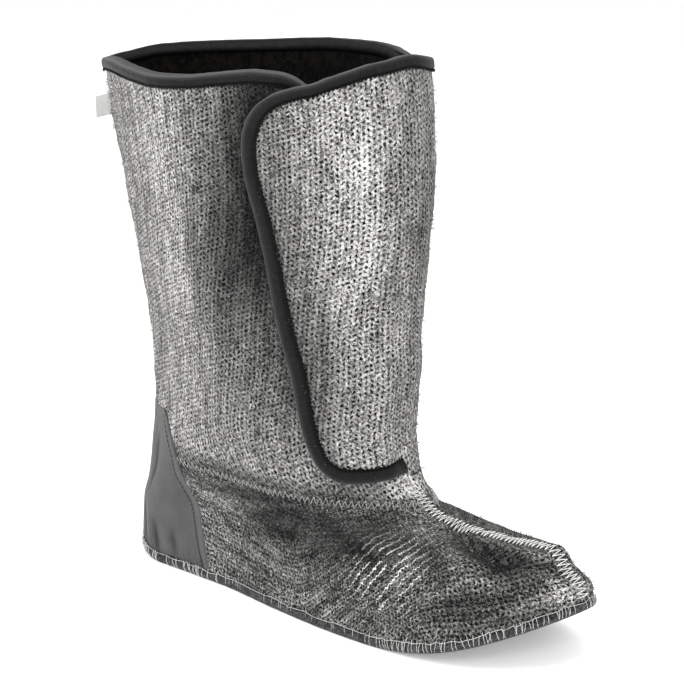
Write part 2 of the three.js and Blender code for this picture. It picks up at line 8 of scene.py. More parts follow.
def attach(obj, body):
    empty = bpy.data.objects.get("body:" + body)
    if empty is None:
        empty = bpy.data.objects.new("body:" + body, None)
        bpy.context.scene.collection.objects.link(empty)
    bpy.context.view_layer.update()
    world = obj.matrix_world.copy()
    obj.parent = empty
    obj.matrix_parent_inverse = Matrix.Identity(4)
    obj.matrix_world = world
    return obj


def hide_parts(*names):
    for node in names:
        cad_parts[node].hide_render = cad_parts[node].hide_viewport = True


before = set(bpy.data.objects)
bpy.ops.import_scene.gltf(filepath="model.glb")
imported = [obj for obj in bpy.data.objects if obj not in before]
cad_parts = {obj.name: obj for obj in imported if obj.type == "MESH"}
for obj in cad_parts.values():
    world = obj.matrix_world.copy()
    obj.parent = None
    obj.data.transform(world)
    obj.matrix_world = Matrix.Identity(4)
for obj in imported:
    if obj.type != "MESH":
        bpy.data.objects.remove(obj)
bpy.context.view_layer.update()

# Foot felt
# The foot is cut from dark grey knitted felt, in an outer and an inner half. They are closed by a
# raised zigzag seam from the toe to the throat, and the shaft's felt is sewn over their top edge.
# Lengths are millimetres on the last. A level is a height on it, before toe spring and collar tilt.
FOOT_LENGTH = 300.0
HEEL_CENTRE = 37.0
HEEL_HALF_WIDTH = 37.0
BALL_OUTER_WIDTH = 52.0
BALL_INNER_WIDTH = 44.5
TOE_OUTER_WIDTH = 37.0
TOE_INNER_WIDTH = 35.5
TOE_CORNER = 74.0
TOE_SPRING = 27.0
TOE_SWING = 10.0
ARCH_LIFT = 3.0
HEEL_CURL = 6.5
SEAM_LEVEL = 64.0
ANKLE_LEVEL = 135.0
CALF_LEVEL = 220.0
SHAFT_HEIGHT = 288.0
ANKLE_HALF_WIDTH = 47.3
COLLAR_HALF_WIDTH = 66.8
ANKLE_OVERHANG = 10.3
CALF_OVERHANG = 31.6
COLLAR_OVERHANG = 48.4
ANKLE_FRONT = 187.5
CALF_FRONT = 193.4
COLLAR_FRONT = 186.5
RIM_RISE = 1.4
RIM_TILT = 6.6
SOLE_FELT = 5.0
FELT_WALL = 6.0
EDGE_WALL = 4.4
EDGE_TAPER = 14.0
RIDGE_HEIGHT = 2.4
SEAM_STEP = 0.9
UPPER_BOTTOM = SOLE_FELT + 0.4
WIDEST = 0.57
NEAR = -1.0
FAR = 1.0


def mix(a, b, share):
    return a + (b - a) * share


def smooth(value, low, high):
    """Zero below low, one above high, and an S between them."""
    share = np.clip((value - low) / (high - low), 0, 1)
    return share * share * (3 - 2 * share)


def monotone_curve(places, values, at):
    """A curve through the values that never overshoots: cubic pieces whose slopes are the weighted
    harmonic means of the slopes on both sides, and zero where these have different signs."""
    x, y = np.asarray(places, float), np.asarray(values, float)
    step = np.diff(x)
    slope = np.diff(y) / step
    before, after = 2 * step[1:] + step[:-1], step[1:] + 2 * step[:-1]
    tangent = np.zeros_like(y)
    with np.errstate(divide="ignore", invalid="ignore"):
        mean = (before + after) / (before / slope[:-1] + after / slope[1:])
    tangent[1:-1] = np.where(slope[:-1] * slope[1:] > 0, mean, 0)
    for end, (i, j) in {0: (0, 1), -1: (-1, -2)}.items():
        guess = ((2 * step[i] + step[j]) * slope[i] - step[i] * slope[j]) / (step[i] + step[j])
        if guess * slope[i] <= 0:
            guess = 0
        elif slope[i] * slope[j] < 0 and abs(guess) > abs(3 * slope[i]):
            guess = 3 * slope[i]
        tangent[end] = guess
    at = np.clip(at, x[0], x[-1])
    k = np.clip(np.searchsorted(x, at) - 1, 0, len(step) - 1)
    u = (at - x[k]) / step[k]
    bow = u * (1 - u) * (tangent[k] * (1 - u) - tangent[k + 1] * u)
    return y[k] + (y[k + 1] - y[k]) * u * u * (3 - 2 * u) + step[k] * bow


LOW_ANKLE = mix(SEAM_LEVEL, ANKLE_LEVEL, 0.23)
MID_ANKLE = mix(SEAM_LEVEL, ANKLE_LEVEL, 0.51)
LOW_CALF = mix(ANKLE_LEVEL, CALF_LEVEL, 0.2)
ANKLE_LENGTH = ANKLE_FRONT + ANKLE_OVERHANG
CALF_LENGTH = CALF_FRONT + CALF_OVERHANG
COLLAR_LENGTH = COLLAR_FRONT + COLLAR_OVERHANG

# Level sections: level, back, front, half width, lengths of the round back and front, power of the
# front, how far the width follows the sole, and power and root of the back.
SECTIONS = np.array([
    (0, 2, FOOT_LENGTH, HEEL_HALF_WIDTH, HEEL_HALF_WIDTH, TOE_CORNER, 2.2, 1, 2, 2),
    (0.2 * SEAM_LEVEL, 0, 0.998 * FOOT_LENGTH, HEEL_HALF_WIDTH,
     HEEL_HALF_WIDTH, 0.25 * FOOT_LENGTH, 2.1, 1, 2, 2),
    (0.45 * SEAM_LEVEL, 0, 0.97 * FOOT_LENGTH, HEEL_HALF_WIDTH,
     1.04 * HEEL_HALF_WIDTH, 0.317 * FOOT_LENGTH, 1.9, 0.95, 2, 1.9),
    (0.66 * SEAM_LEVEL, 1, 0.946 * FOOT_LENGTH, HEEL_HALF_WIDTH,
     1.25 * HEEL_HALF_WIDTH, 0.333 * FOOT_LENGTH, 1.7, 0.85, 2, 1.55),
    (0.94 * SEAM_LEVEL, -0.2 * ANKLE_OVERHANG, 1.122 * ANKLE_FRONT, 1.02 * HEEL_HALF_WIDTH,
     1.65 * HEEL_HALF_WIDTH, 0.3 * FOOT_LENGTH, 1.6, 0.7, 1.85, 1.2),
    (LOW_ANKLE, -0.48 * ANKLE_OVERHANG, 1.018 * ANKLE_FRONT, 0.95 * ANKLE_HALF_WIDTH,
     0.46 * ANKLE_LENGTH, 0.25 * FOOT_LENGTH, 1.8, 0.4, 1.75, 1.08),
    (MID_ANKLE, -0.55 * ANKLE_OVERHANG, 0.994 * ANKLE_FRONT, ANKLE_HALF_WIDTH,
     WIDEST * ANKLE_LENGTH, (1 - WIDEST) * ANKLE_LENGTH, 2, 0.1, 1.69, 1),
    (ANKLE_LEVEL, -ANKLE_OVERHANG, 1.01 * ANKLE_FRONT, ANKLE_HALF_WIDTH,
     WIDEST * ANKLE_LENGTH, (1 - WIDEST) * ANKLE_LENGTH, 2, 0, 1.69, 1),
    (LOW_CALF, -mix(ANKLE_OVERHANG, CALF_OVERHANG, 0.2), mix(ANKLE_FRONT, CALF_FRONT, 0.2),
     mix(ANKLE_HALF_WIDTH, COLLAR_HALF_WIDTH, 0.1),
     WIDEST * ANKLE_LENGTH, (1 - WIDEST) * ANKLE_LENGTH, 2, 0, 1.69, 1),
    (CALF_LEVEL, -CALF_OVERHANG, CALF_FRONT, mix(ANKLE_HALF_WIDTH, COLLAR_HALF_WIDTH, 0.5),
     WIDEST * CALF_LENGTH, (1 - WIDEST) * CALF_LENGTH, 2, 0, 1.69, 1),
    (SHAFT_HEIGHT, -COLLAR_OVERHANG, COLLAR_FRONT, COLLAR_HALF_WIDTH,
     WIDEST * COLLAR_LENGTH, (1 - WIDEST) * COLLAR_LENGTH, 2, 0, 1.77, 1),
])

# Sole stations: share of the foot's length, and distances of the outer and the inner edge.
SOLE_STATIONS = np.array([
    (0, HEEL_HALF_WIDTH, HEEL_HALF_WIDTH),
    (0.12, HEEL_HALF_WIDTH, HEEL_HALF_WIDTH),
    (0.3, 1.05 * HEEL_HALF_WIDTH, 0.92 * HEEL_HALF_WIDTH),
    (0.45, 1.22 * HEEL_HALF_WIDTH, 0.98 * HEEL_HALF_WIDTH),
    (0.68, BALL_OUTER_WIDTH, BALL_INNER_WIDTH),
    (0.85, 1.02 * BALL_OUTER_WIDTH, 0.96 * BALL_INNER_WIDTH),
    (1, TOE_OUTER_WIDTH, TOE_INNER_WIDTH),
])


def sole_edges(x):
    share = x / FOOT_LENGTH
    return [monotone_curve(SOLE_STATIONS[:, 0], SOLE_STATIONS[:, i], share) for i in (1, 2)]


def round_end(distance, length, power, root):
    return (1 - (1 - np.clip(distance / length, 0, 1)) ** power) ** (1 / root)


def floor_lift(x, y, level):
    """Height added by the toe spring and the curl of the heel, parabolas past two thirds of the foot
    and at its back, and by the inner arch, a squared sine that grows from the outer edge to the
    inner one. All fade out with the level."""
    share = x / FOOT_LENGTH
    spring = TOE_SPRING * np.clip((share - 0.68) / 0.32, 0, 1) ** 2
    outer, inner = sole_edges(x)
    arch = ARCH_LIFT * np.sin(np.pi * np.clip((share - 0.28) / 0.28, 0, 1)) ** 2
    across = (y + outer) / (outer + inner)
    spring_fade = np.clip((120 - level) / (120 - UPPER_BOTTOM), 0, 1)
    arch_fade = np.clip((SEAM_LEVEL - level) / (SEAM_LEVEL - UPPER_BOTTOM), 0, 1)
    curl = HEEL_CURL * np.clip((0.13 - share) / 0.13, 0, 1) ** 2
    return (spring + curl) * spring_fade + arch * across * arch_fade


# The collar isn't cut level: it sags at the back seam and rises at the front. Place t from the back
# to the front, and how far the rim lies above the last's top there, on the outer and inner side.
OUTER_RIM = np.array([(0, -8.3), (0.146, -6.5), (0.2, -4), (0.25, -1.8), (0.3, -0.5), (0.34, 0),
                      (0.66, 0), (0.714, -0.5), (0.748, -1.2), (0.78, -1.5), (0.816, 0.7),
                      (0.853, 3), (0.893, 5.3), (0.934, 6.1), (0.977, 7), (1, 6.8)])
INNER_RIM = np.array([(0, -8.3), (0.146, -5.3), (0.224, -2.7), (0.286, -2.3), (0.395, -2.3),
                      (0.526, -1), (0.61, -1), (0.66, -2), (0.69, -3.8), (0.714, -4.9),
                      (0.748, -3.7), (0.78, -2.8), (0.816, -1.8), (0.853, -0.4), (0.893, 1.4),
                      (0.934, 3.5), (0.977, 6), (1, 6.8)])


def form_point(side, t, level):
    """The last: at each level a half outline whose length follows half a cosine wave of t, from the
    back at 0 to the front at 1, and whose width is the half width times a round front and back. The
    top is shifted up or down to the collar's own line, and a little forward at the back seam."""
    side, t, level = np.broadcast_arrays(side, t, level)
    curves = [monotone_curve(SECTIONS[:, 0], SECTIONS[:, i], level) for i in range(1, 10)]
    back, front, half, back_round, front_round, front_power, sole_share, power, root = curves
    along = (1 - np.cos(np.pi * t)) / 2
    x = back + (front - back) * along
    outer, inner = sole_edges(x)
    width = mix(half, np.where(side < 0, outer, inner), sole_share)
    ends = round_end(x - back, back_round, power, root)
    ends = ends * round_end(front - x, front_round, front_power, front_power)
    y = side * width * ends
    swing = TOE_SWING * np.clip((x / FOOT_LENGTH - 0.5) / 0.5, 0, 1) ** 1.5
    swing = swing * np.clip((1.04 * ANKLE_LEVEL - level) / (0.6 * ANKLE_LEVEL), 0, 1)
    tilt = (level / SHAFT_HEIGHT) ** 4 * (RIM_RISE * (2 * along - 1) + RIM_TILT * y / COLLAR_HALF_WIDTH)
    rim = np.where(side < 0, monotone_curve(*OUTER_RIM.T, t), monotone_curve(*INNER_RIM.T, t))
    z = level + floor_lift(x, y, level) + tilt + rim * smooth(level, 215, SHAFT_HEIGHT)
    x = x + 4.3 * smooth(level, 250, SHAFT_HEIGHT) * (1 - smooth(t, 0, 0.27))
    return np.stack([x - HEEL_CENTRE, y + swing, z], axis=-1)


def unit(vectors):
    return vectors / np.maximum(np.linalg.norm(vectors, axis=-1, keepdims=True), 1e-9)


def one_sided_normal(side, t, level):
    reach = 0.006
    level = np.clip(level, 0, SHAFT_HEIGHT)
    around = form_point(side, np.minimum(t + reach, 1), level)
    around = around - form_point(side, np.maximum(t - reach, 0), level)
    inner = np.clip(t, reach, 1 - reach)
    upward = form_point(side, inner, np.minimum(level + 0.5, SHAFT_HEIGHT))
    upward = upward - form_point(side, inner, np.maximum(level - 0.5, 0))
    return unit(np.cross(around, upward) * -np.asarray(side)[..., None])


def form_normal(side, t, level):
    """The outward direction: the cross product of the steps round and up the last, with a mitre
    where both sides meet at the back and the front."""
    side, t, level = np.broadcast_arrays(side, t, level)
    own = one_sided_normal(side, t, level)
    shared = unit(own + one_sided_normal(-side, t, level))
    stretch = 1 / np.maximum((shared * own).sum(-1, keepdims=True), 0.6)
    at_seam = ((t <= 0) | (t >= 1))[..., None]
    return np.where(at_seam, shared * stretch, own)


def raised(side, t, level, offset):
    offset = np.asarray(offset, float)[..., None]
    return form_point(side, t, level) + form_normal(side, t, level) * offset


ARC_LEVELS = np.linspace(0, SHAFT_HEIGHT, 289)
ARC_PLACES = np.linspace(1, 0, 301)
ROW_GAP = 2000.0


def arc_table(side):
    points = form_point(side, ARC_PLACES[None, :], ARC_LEVELS[:, None])
    steps = np.linalg.norm(np.diff(points, axis=1), axis=2)
    return np.concatenate([np.zeros((len(points), 1)), np.cumsum(steps, axis=1)], axis=1)


ARCS = {side: arc_table(side) for side in (NEAR, FAR)}


def half_girth(side, level):
    return np.interp(level, ARC_LEVELS, ARCS[side][:, -1])


def place_at(width, level):
    """Side and t of a width along the felt, counted from the front, positive on the outer side. The
    arc tables of the level below and above are both read, and their two places are mixed."""
    width, level = np.broadcast_arrays(np.asarray(width, float), level)
    row = np.clip(level, 0, SHAFT_HEIGHT - 1e-3) / ARC_LEVELS[1]
    low = np.floor(row).astype(int)
    rows = np.arange(len(ARC_LEVELS))[:, None]
    places = np.tile(ARC_PLACES, len(ARC_LEVELS))
    found = np.zeros_like(width)
    for side, here in ((NEAR, width >= 0), (FAR, width < 0)):
        keys = (ARCS[side] + rows * ROW_GAP).ravel()
        reach = ARCS[side][:, -1]
        ends = []
        for level_row in (low, low + 1):
            key = np.minimum(np.abs(width), reach[level_row] - 1e-6) + level_row * ROW_GAP
            ends.append(np.interp(key, keys, places))
        found = np.where(here, mix(ends[0], ends[1], row - low), found)
    at_back = np.abs(width) >= np.where(width >= 0, half_girth(NEAR, level), half_girth(FAR, level)) - 1e-4
    return np.where(width >= 0, NEAR, FAR), np.where(at_back, 0, np.where(width == 0, 1, found))


def wrap(width, level, offset):
    side, t = place_at(width, level)
    return raised(side, t, level, offset)


def distance_to_line(points, line):
    """Distance from each point to a line through a few given places, and the share of the way along it: the nearest
    point of each straight stretch is clipped to its ends."""
    line = np.asarray(line, float)
    best = np.full(points.shape[:-1], 1e9)
    share = np.zeros(points.shape[:-1])
    for i in range(len(line) - 1):
        run = line[i + 1] - line[i]
        u = np.clip(((points - line[i]) @ run) / (run @ run), 0, 1)
        gap = np.linalg.norm(points - line[i] - u[..., None] * run, axis=-1)
        nearer = gap < best
        best = np.where(nearer, gap, best)
        share = np.where(nearer, (i + u) / (len(line) - 1), share)
    return best, share


def creases(points, folds):
    """Offset from soft troughs and ridges: each is a bell across its line, and fades at its ends."""
    total = np.zeros(points.shape[:-1])
    for depth, radius, line in folds:
        gap, share = distance_to_line(points, line)
        total += depth * np.exp(-((gap / radius) ** 2)) * np.sin(np.pi * np.clip(share, 0.04, 0.96)) ** 0.5
    return total


def lumps(points, size, seed):
    """Smooth unevenness between -1 and 1: the mean of nine sine waves in random directions."""
    dice = np.random.default_rng(seed)
    waves = unit(dice.normal(size=(9, 3))) * dice.uniform(0.6, 1.5, (9, 1)) * 2 * np.pi / size
    phases = dice.uniform(0, 2 * np.pi, 9)
    return np.sin(points @ waves.T + phases).mean(-1) * 2


def mesh_piece(name, points, faces, finish, values=None):
    """A piece from points in millimetres and faces. If its signed volume comes out negative, every
    face is turned over, so that all of them point outwards."""
    mesh = bpy.data.meshes.new(name)
    mesh.from_pydata((points * 0.001).tolist(), [], faces)
    for key, value in (values or {}).items():
        kind = "FLOAT" if value.ndim == 1 else "FLOAT_VECTOR"
        attribute = mesh.attributes.new(key, kind, "POINT")
        field = "value" if value.ndim == 1 else "vector"
        attribute.data.foreach_set(field, value.astype(np.float32).ravel())
    mesh.calc_loop_triangles()
    corners = np.zeros(len(mesh.loop_triangles) * 3, np.int32)
    mesh.loop_triangles.foreach_get("vertices", corners)
    a, b, c = points[corners.reshape(-1, 3)].transpose(1, 0, 2)
    if (a * np.cross(b, c)).sum() < 0:
        mesh.flip_normals()
    mesh.polygons.foreach_set("use_smooth", np.ones(len(mesh.polygons), bool))
    mesh.materials.append(finish)
    piece = bpy.data.objects.new(name, mesh)
    bpy.context.scene.collection.objects.link(piece)
    return piece


def grid_faces(rows, columns, start=0, round_rows=False, round_columns=False):
    """Four-sided faces of a grid of points, which may close on itself either way."""
    i = np.arange(rows if round_rows else rows - 1)[:, None]
    j = np.arange(columns if round_columns else columns - 1)[None, :]
    up, on = (i + 1) % rows, (j + 1) % columns
    corners = [i * columns + j, i * columns + on, up * columns + on, up * columns + j]
    return (np.stack(corners, axis=-1).reshape(-1, 4) + start).tolist()


class Wire:
    """An output of a shader node. Sums, products and powers of wires add Math nodes."""

    def __init__(self, finish, socket):
        self.finish = finish
        self.socket = socket

    def maths(self, operation, *values, clamp=False):
        settings = {"operation": operation, "use_clamp": clamp}
        return self.finish.node("ShaderNodeMath", settings, dict(enumerate(values)))

    def __add__(self, other):
        return self.maths("ADD", self, other)

    def __sub__(self, other):
        return self.maths("SUBTRACT", self, other)

    def __rsub__(self, other):
        return self.maths("SUBTRACT", other, self)

    def __mul__(self, other):
        return self.maths("MULTIPLY", self, other)

    def __pow__(self, other):
        return self.maths("POWER", self, other)

    __radd__ = __add__
    __rmul__ = __mul__

    def floor(self):
        return self.maths("FLOOR", self)

    def fraction(self):
        return self.maths("FRACT", self)

    def bound(self):
        return self.maths("ADD", self, 0, clamp=True)

    def ramp(self, low, high):
        """Zero below low, one above high, and an S between them."""
        settings = {"interpolation_type": "SMOOTHSTEP"}
        return self.finish.node("ShaderNodeMapRange", settings, {0: self, 1: low, 2: high})


class Finish:
    """A material: one Principled shader, whose fixed numbers are set on its own sockets."""

    def __init__(self, name, **fixed):
        self.material = bpy.data.materials.new(name)
        self.material.use_nodes = True
        self.nodes = self.material.node_tree.nodes
        self.links = self.material.node_tree.links
        self.nodes.clear()
        self.shader = self.nodes.new("ShaderNodeBsdfPrincipled")
        output = self.nodes.new("ShaderNodeOutputMaterial")
        self.links.new(self.shader.outputs["BSDF"], output.inputs["Surface"])
        for key, value in fixed.items():
            self.shader.inputs[key.replace("_", " ")].default_value = value

    def node(self, kind, settings=None, values=None, output=0):
        """Adds a node: its settings first, then the values or wires of its sockets by name or place."""
        made = self.nodes.new(kind)
        for key, value in (settings or {}).items():
            setattr(made, key, value)
        for key, value in (values or {}).items():
            names = [socket.identifier for socket in made.inputs]
            socket = made.inputs[names.index(key) if key in names else key]
            if isinstance(value, Wire):
                self.links.new(value.socket, socket)
            else:
                socket.default_value = value
        found = [socket for socket in made.outputs if socket.identifier == output]
        return Wire(self, found[0] if found else made.outputs[output])

    def attribute(self, name, output="Fac"):
        return self.node("ShaderNodeAttribute", {"attribute_name": name}, output=output)

    def place(self):
        """Object coordinates in millimetres."""
        metres = self.node("ShaderNodeTexCoord", output="Object")
        values = {0: metres, "Scale": 1000.0}
        return self.node("ShaderNodeVectorMath", {"operation": "SCALE"}, values, "Vector")

    def split(self, vector):
        return [self.node("ShaderNodeSeparateXYZ", values={0: vector}, output=i) for i in range(3)]

    def join(self, x, y, z=0.0):
        return self.node("ShaderNodeCombineXYZ", values={0: x, 1: y, 2: z})

    def noise(self, vector, scale, detail=2.0, roughness=0.5):
        values = {"Vector": vector, "Scale": scale, "Detail": detail, "Roughness": roughness}
        return self.node("ShaderNodeTexNoise", values=values)

    def chance(self, x, y):
        values = {"Vector": self.join(x, y)}
        return self.node("ShaderNodeTexWhiteNoise", {"noise_dimensions": "2D"}, values)

    def blend(self, share, first, second):
        values = {"Factor_Float": share, "A_Color": first, "B_Color": second}
        return self.node("ShaderNodeMix", {"data_type": "RGBA"}, values, "Result_Color")

    def colour(self, value):
        self.links.new(value.socket, self.shader.inputs["Base Color"])

    def roughness(self, value):
        self.links.new(value.socket, self.shader.inputs["Roughness"])

    def relief(self, height, depth):
        """Bump from a height of 0 to 1, where 1 stands out by depth in metres."""
        values = {"Height": height, "Distance": depth, "Strength": 1.0}
        bump = self.node("ShaderNodeBump", values=values, output="Normal")
        self.links.new(bump.socket, self.shader.inputs["Normal"])


def grey(value, warm=0.0):
    """A grey of a given linear value, a little warm or cold."""
    return (value * (1 + warm), value, value * (1 - warm), 1.0)


def felt_finish(name, wale, course, slant, knit, contrast, painted_inside_shade, bright=0.78):
    """Knitted felt. Stitches stand in staggered columns, and each leaves a round dark hole whose
    depth is left to chance, in a net of light yarn blurred by specks and fibres. The cloth attribute
    holds the distance across and along the knit and the count of light threads that lie over it, tone
    the mean lightness, line the strength of those threads, and inner marks the inner face."""
    finish = Finish(name, Roughness=0.95, Sheen_Weight=0.02, Sheen_Roughness=0.5,
                    Specular_IOR_Level=0.03)
    across, along, row = finish.split(finish.attribute("cloth", "Vector"))
    place = finish.place()
    u = across + (finish.noise(place, 0.5, 2.0, 0.6) - 0.5) * 3.0
    v = along + (finish.noise(place, 0.55, 2.0, 0.6) - 0.5) * 3.0
    column = (u * (2 / wale)).floor()
    a = (u * (2 / wale)).fraction() - 0.5
    turn = (column * 0.5).fraction() * 4.0 - 1.0
    c = v * (1 / course) + turn * a * slant + column * 0.37
    b = c.fraction() - 0.5
    net = (a * a + b * b).ramp(0.0, 0.13)
    depth = finish.chance(column, c.floor())
    streak = finish.noise(finish.join(across * 0.2, along * 0.03, 0.5), 1.0, 3.0, 0.6)
    speck = finish.noise(place, 0.62, 3.0, 0.65)
    fibre = finish.noise(place, 1.7, 2.0, 0.65)
    pattern = ((net - 0.72) * (depth * 1.3 + 0.5) * knit + (speck - 0.5) * 4.2
               + (fibre - 0.5) * 4.2 + (streak - 0.5) * 2.0) * contrast
    wave = (along * (2 * math.pi / 3.1)).maths("SINE", along * (2 * math.pi / 3.1))
    row = row + finish.noise(place, 0.25, 1.0, 0.5) * 0.7 + wave * 0.07
    off = row.fraction() - 0.5
    off = off.maths("ABSOLUTE", off)
    broken = finish.chance(row.floor(), (along * 0.1).floor()).ramp(0.1, 0.35)
    thread = (1.0 - off.ramp(0.03, 0.12)) * broken * fibre.ramp(0.25, 0.45)
    tone = finish.attribute("tone")
    value = tone * (pattern + 1.0) + thread * finish.attribute("line")
    share = value.bound() ** 2.2
    felt = finish.blend(share, grey(0.004), (bright, bright * 0.985, bright * 0.95, 1.0))
    # Painted shade: the inner face is near black, standing in for the shade inside the boot.
    inside = finish.blend((fibre * 0.6 + depth * 0.4).ramp(0.35, 0.8), grey(painted_inside_shade, 0.15), grey(painted_inside_shade * 5, 0.15))
    finish.colour(finish.blend(finish.attribute("inner").ramp(0.3, 0.7), felt, inside))
    finish.relief(net * 0.5 + fibre * 0.9, 0.0007)
    return finish.material


foot_felt = felt_finish("foot_felt", 5.2, 2.7, 0.3, 1.0, 1.05, 0.001)


def wall_near_edge(wall, distance):
    return mix(EDGE_WALL, wall, np.clip(distance / EDGE_TAPER, 0, 1))


def relief(width, level):
    """The raised seam on top of the foot, and the step where the shaft's felt lies over the foot's."""
    ridge = RIDGE_HEIGHT * smooth(level, UPPER_BOTTOM, UPPER_BOTTOM + 8)
    ridge = ridge * (1 - smooth(level, SEAM_LEVEL, SEAM_LEVEL + 12))
    ridge = ridge * (1 - smooth(np.abs(width), 0.6, 4.5))
    step = np.where(level < SEAM_LEVEL, SEAM_STEP * np.clip(1 - (SEAM_LEVEL - level) / 12, 0, 1), 0)
    return ridge - step


# The heel patch: its half width by level, from the back seam. The felt is pressed in under it.
PATCH_TOP = 87.5
PATCH_DIP = 6.0
PATCH_BOTTOM = UPPER_BOTTOM + 0.4
HEM = 6.0
PATCH_OUTLINE = np.array([(PATCH_BOTTOM, 101), (17, 97.5), (29.5, 94), (41.5, 87.5), (48.5, 80), (55, 74),
                          (63.5, 69), (72.5, 60), (79.5, 52), (84, 46), (PATCH_TOP, 39)])


def patch_half_width(level):
    return monotone_curve(*PATCH_OUTLINE.T, level)


def under_patch(width, level, inset):
    """One where the patch lies over the felt, fading to zero over ten millimetres that start at the
    inset inside its edge."""
    from_back = np.where(width > 0, half_girth(NEAR, level) - width, half_girth(FAR, level) + width)
    edge = patch_half_width(level) - inset
    top = PATCH_TOP - PATCH_DIP * np.exp(-((from_back / 34) ** 2))
    return (1 - smooth(from_back, edge, edge + 10)) * (1 - smooth(level, top - 4, top + 1))


# Troughs and ridges of the foot felt: depth, radius, and places by width and level. The deep one
# under the toe seam is where the outer half is fulled tight, the small ones are wrinkles between
# heel and instep.
FOOT_FOLDS = [(depth, radius, wrap(*np.array(line, float).T, 0)) for depth, radius, line in [
    (-5.5, 2.6, [(3, 57.5), (9, 54), (17, 51), (23, 46.5), (22, 42), (17, 37), (9, 31), (3, 27)]),
    (-2.5, 7.0, [(16, 53), (28, 47), (31, 41), (26, 35)]),
    (2.4, 5.0, [(6, 56), (11, 51.5), (14, 46.5), (12, 42), (7, 36)]),
    (2.2, 7.0, [(30, 53), (42, 45), (42, 37), (32, 30)]),
    (-1.8, 2.0, [(212, 50), (180, 53.5), (150, 56), (115, 58), (88, 60)]),
    (-2.0, 2.2, [(200, 43.5), (165, 48), (125, 52.5), (95, 56)]),
    (1.3, 2.6, [(205, 47), (172, 51), (138, 54.5), (100, 57.5)]),
    (-1.5, 2.4, [(206, 37), (180, 41), (150, 45), (128, 49)]),
    (1.0, 4.0, [(204, 30), (170, 33), (140, 38)]),
    (-1.4, 3.5, [(74, 61), (82, 52), (96, 42), (108, 34)]),
    (1.1, 5.0, [(62, 60), (70, 50), (84, 40), (98, 30)]),
    (-1.2, 5.0, [(44, 56), (52, 48), (64, 38), (76, 28)]),
    (-1.4, 5.0, [(44, 28), (60, 27), (80, 24)]),
]]


def foot_outer(width, level):
    base = wrap(width, level, relief(width, level))
    side, t = place_at(width, level)
    normal = form_normal(side, t, level)
    bend = creases(base, FOOT_FOLDS) + 0.35 * lumps(base, 16, 5) + 0.16 * lumps(base, 5, 6)
    fade = smooth(level, UPPER_BOTTOM, UPPER_BOTTOM + 6) * (1 - smooth(level, SEAM_LEVEL - 4, SEAM_LEVEL))
    bend = bend * fade * (1 - under_patch(width, level, 0)) - 2.2 * under_patch(width, level, 12)
    return base + normal * bend[..., None]


def inner_loop(level, places, depth):
    """The inner face at a level. Where the walls of both sides would cross at the back or the front,
    each side is cut off on the middle line, and its places are spread over what is left."""
    sides = []
    for side in (NEAR, FAR):
        fine = np.linspace(0, 1, 401)
        points = raised(side, fine[None, :], level[:, None], -depth)
        middle = form_point(side, np.where(fine > 0.5, 1.0, 0.0)[None, :], level[:, None])[..., 1]
        clear = (points[..., 1] - middle) * side > 0
        first, last = clear.argmax(1), 400 - clear[:, ::-1].argmax(1)
        spread = mix(first[:, None], last[:, None], places[None, :]) / 400
        sides.append(raised(side, spread, level[:, None], -depth))
    near, far = sides
    for end in (0, -1):
        near[:, end] = far[:, end] = (near[:, end] + far[:, end]) / 2
    return np.concatenate([near, far[:, -2:0:-1]], axis=1)


COLUMNS = 330
front_steps = np.linalg.norm(np.diff(form_point(NEAR, 0.93, np.linspace(UPPER_BOTTOM, 67, 400)), axis=0), axis=1)
front_arc = np.concatenate([[0], np.cumsum(front_steps)])
foot_levels = np.interp(np.linspace(0, front_arc[-1], 104), front_arc, np.linspace(UPPER_BOTTOM, 67, 400))
share = np.linspace(1, 0, COLUMNS + 1)[None, :]
foot_level_grid = foot_levels[:, None] * np.ones_like(share)
near_width = share * half_girth(NEAR, foot_levels)[:, None]
far_width = -share[:, -2:0:-1] * half_girth(FAR, foot_levels)[:, None]
foot_width = np.concatenate([near_width, far_width], axis=1)
foot_level = foot_levels[:, None] * np.ones_like(foot_width)
outer = foot_outer(foot_width, foot_level)
inner_levels = np.linspace(67, UPPER_BOTTOM + 0.1, 22)
inner = inner_loop(inner_levels, np.linspace(0, 1, COLUMNS + 1), 6.4)
rows = np.concatenate([outer, inner])


# Height that the knit's rows gain along the foot: they climb steeply over the ball.
row_places = np.linspace(-80, 290, 371)
row_slopes = 1.05 * smooth(row_places, 100, 140) * (1 - smooth(row_places, 190, 215)) - 0.12
row_heights = np.cumsum(row_slopes)


def foot_knit(points, climb, girth):
    """Across and along the knit of the foot: the way up over the felt less the rise of its row, and
    the way round. The third number counts the light threads, which climb more steeply."""
    x, z = points[..., 0], points[..., 2]
    steep = np.radians(58) * smooth(x, 95, 125)
    row = (z * np.cos(steep) - (x - 150) * np.sin(steep)) / mix(3.3, 4.2, smooth(x, 95, 125)) + 100
    return np.stack([climb - np.interp(x, row_places, row_heights) + 200, girth + 400, row], axis=-1)


def patches(points, spots):
    """Sum of soft round spots, each with an amount, its three radii and its place."""
    total = np.zeros(points.shape[:-1])
    for amount, radii, place in spots:
        total += amount * np.exp(-(((points - place) / radii) ** 2).sum(-1))
    return total


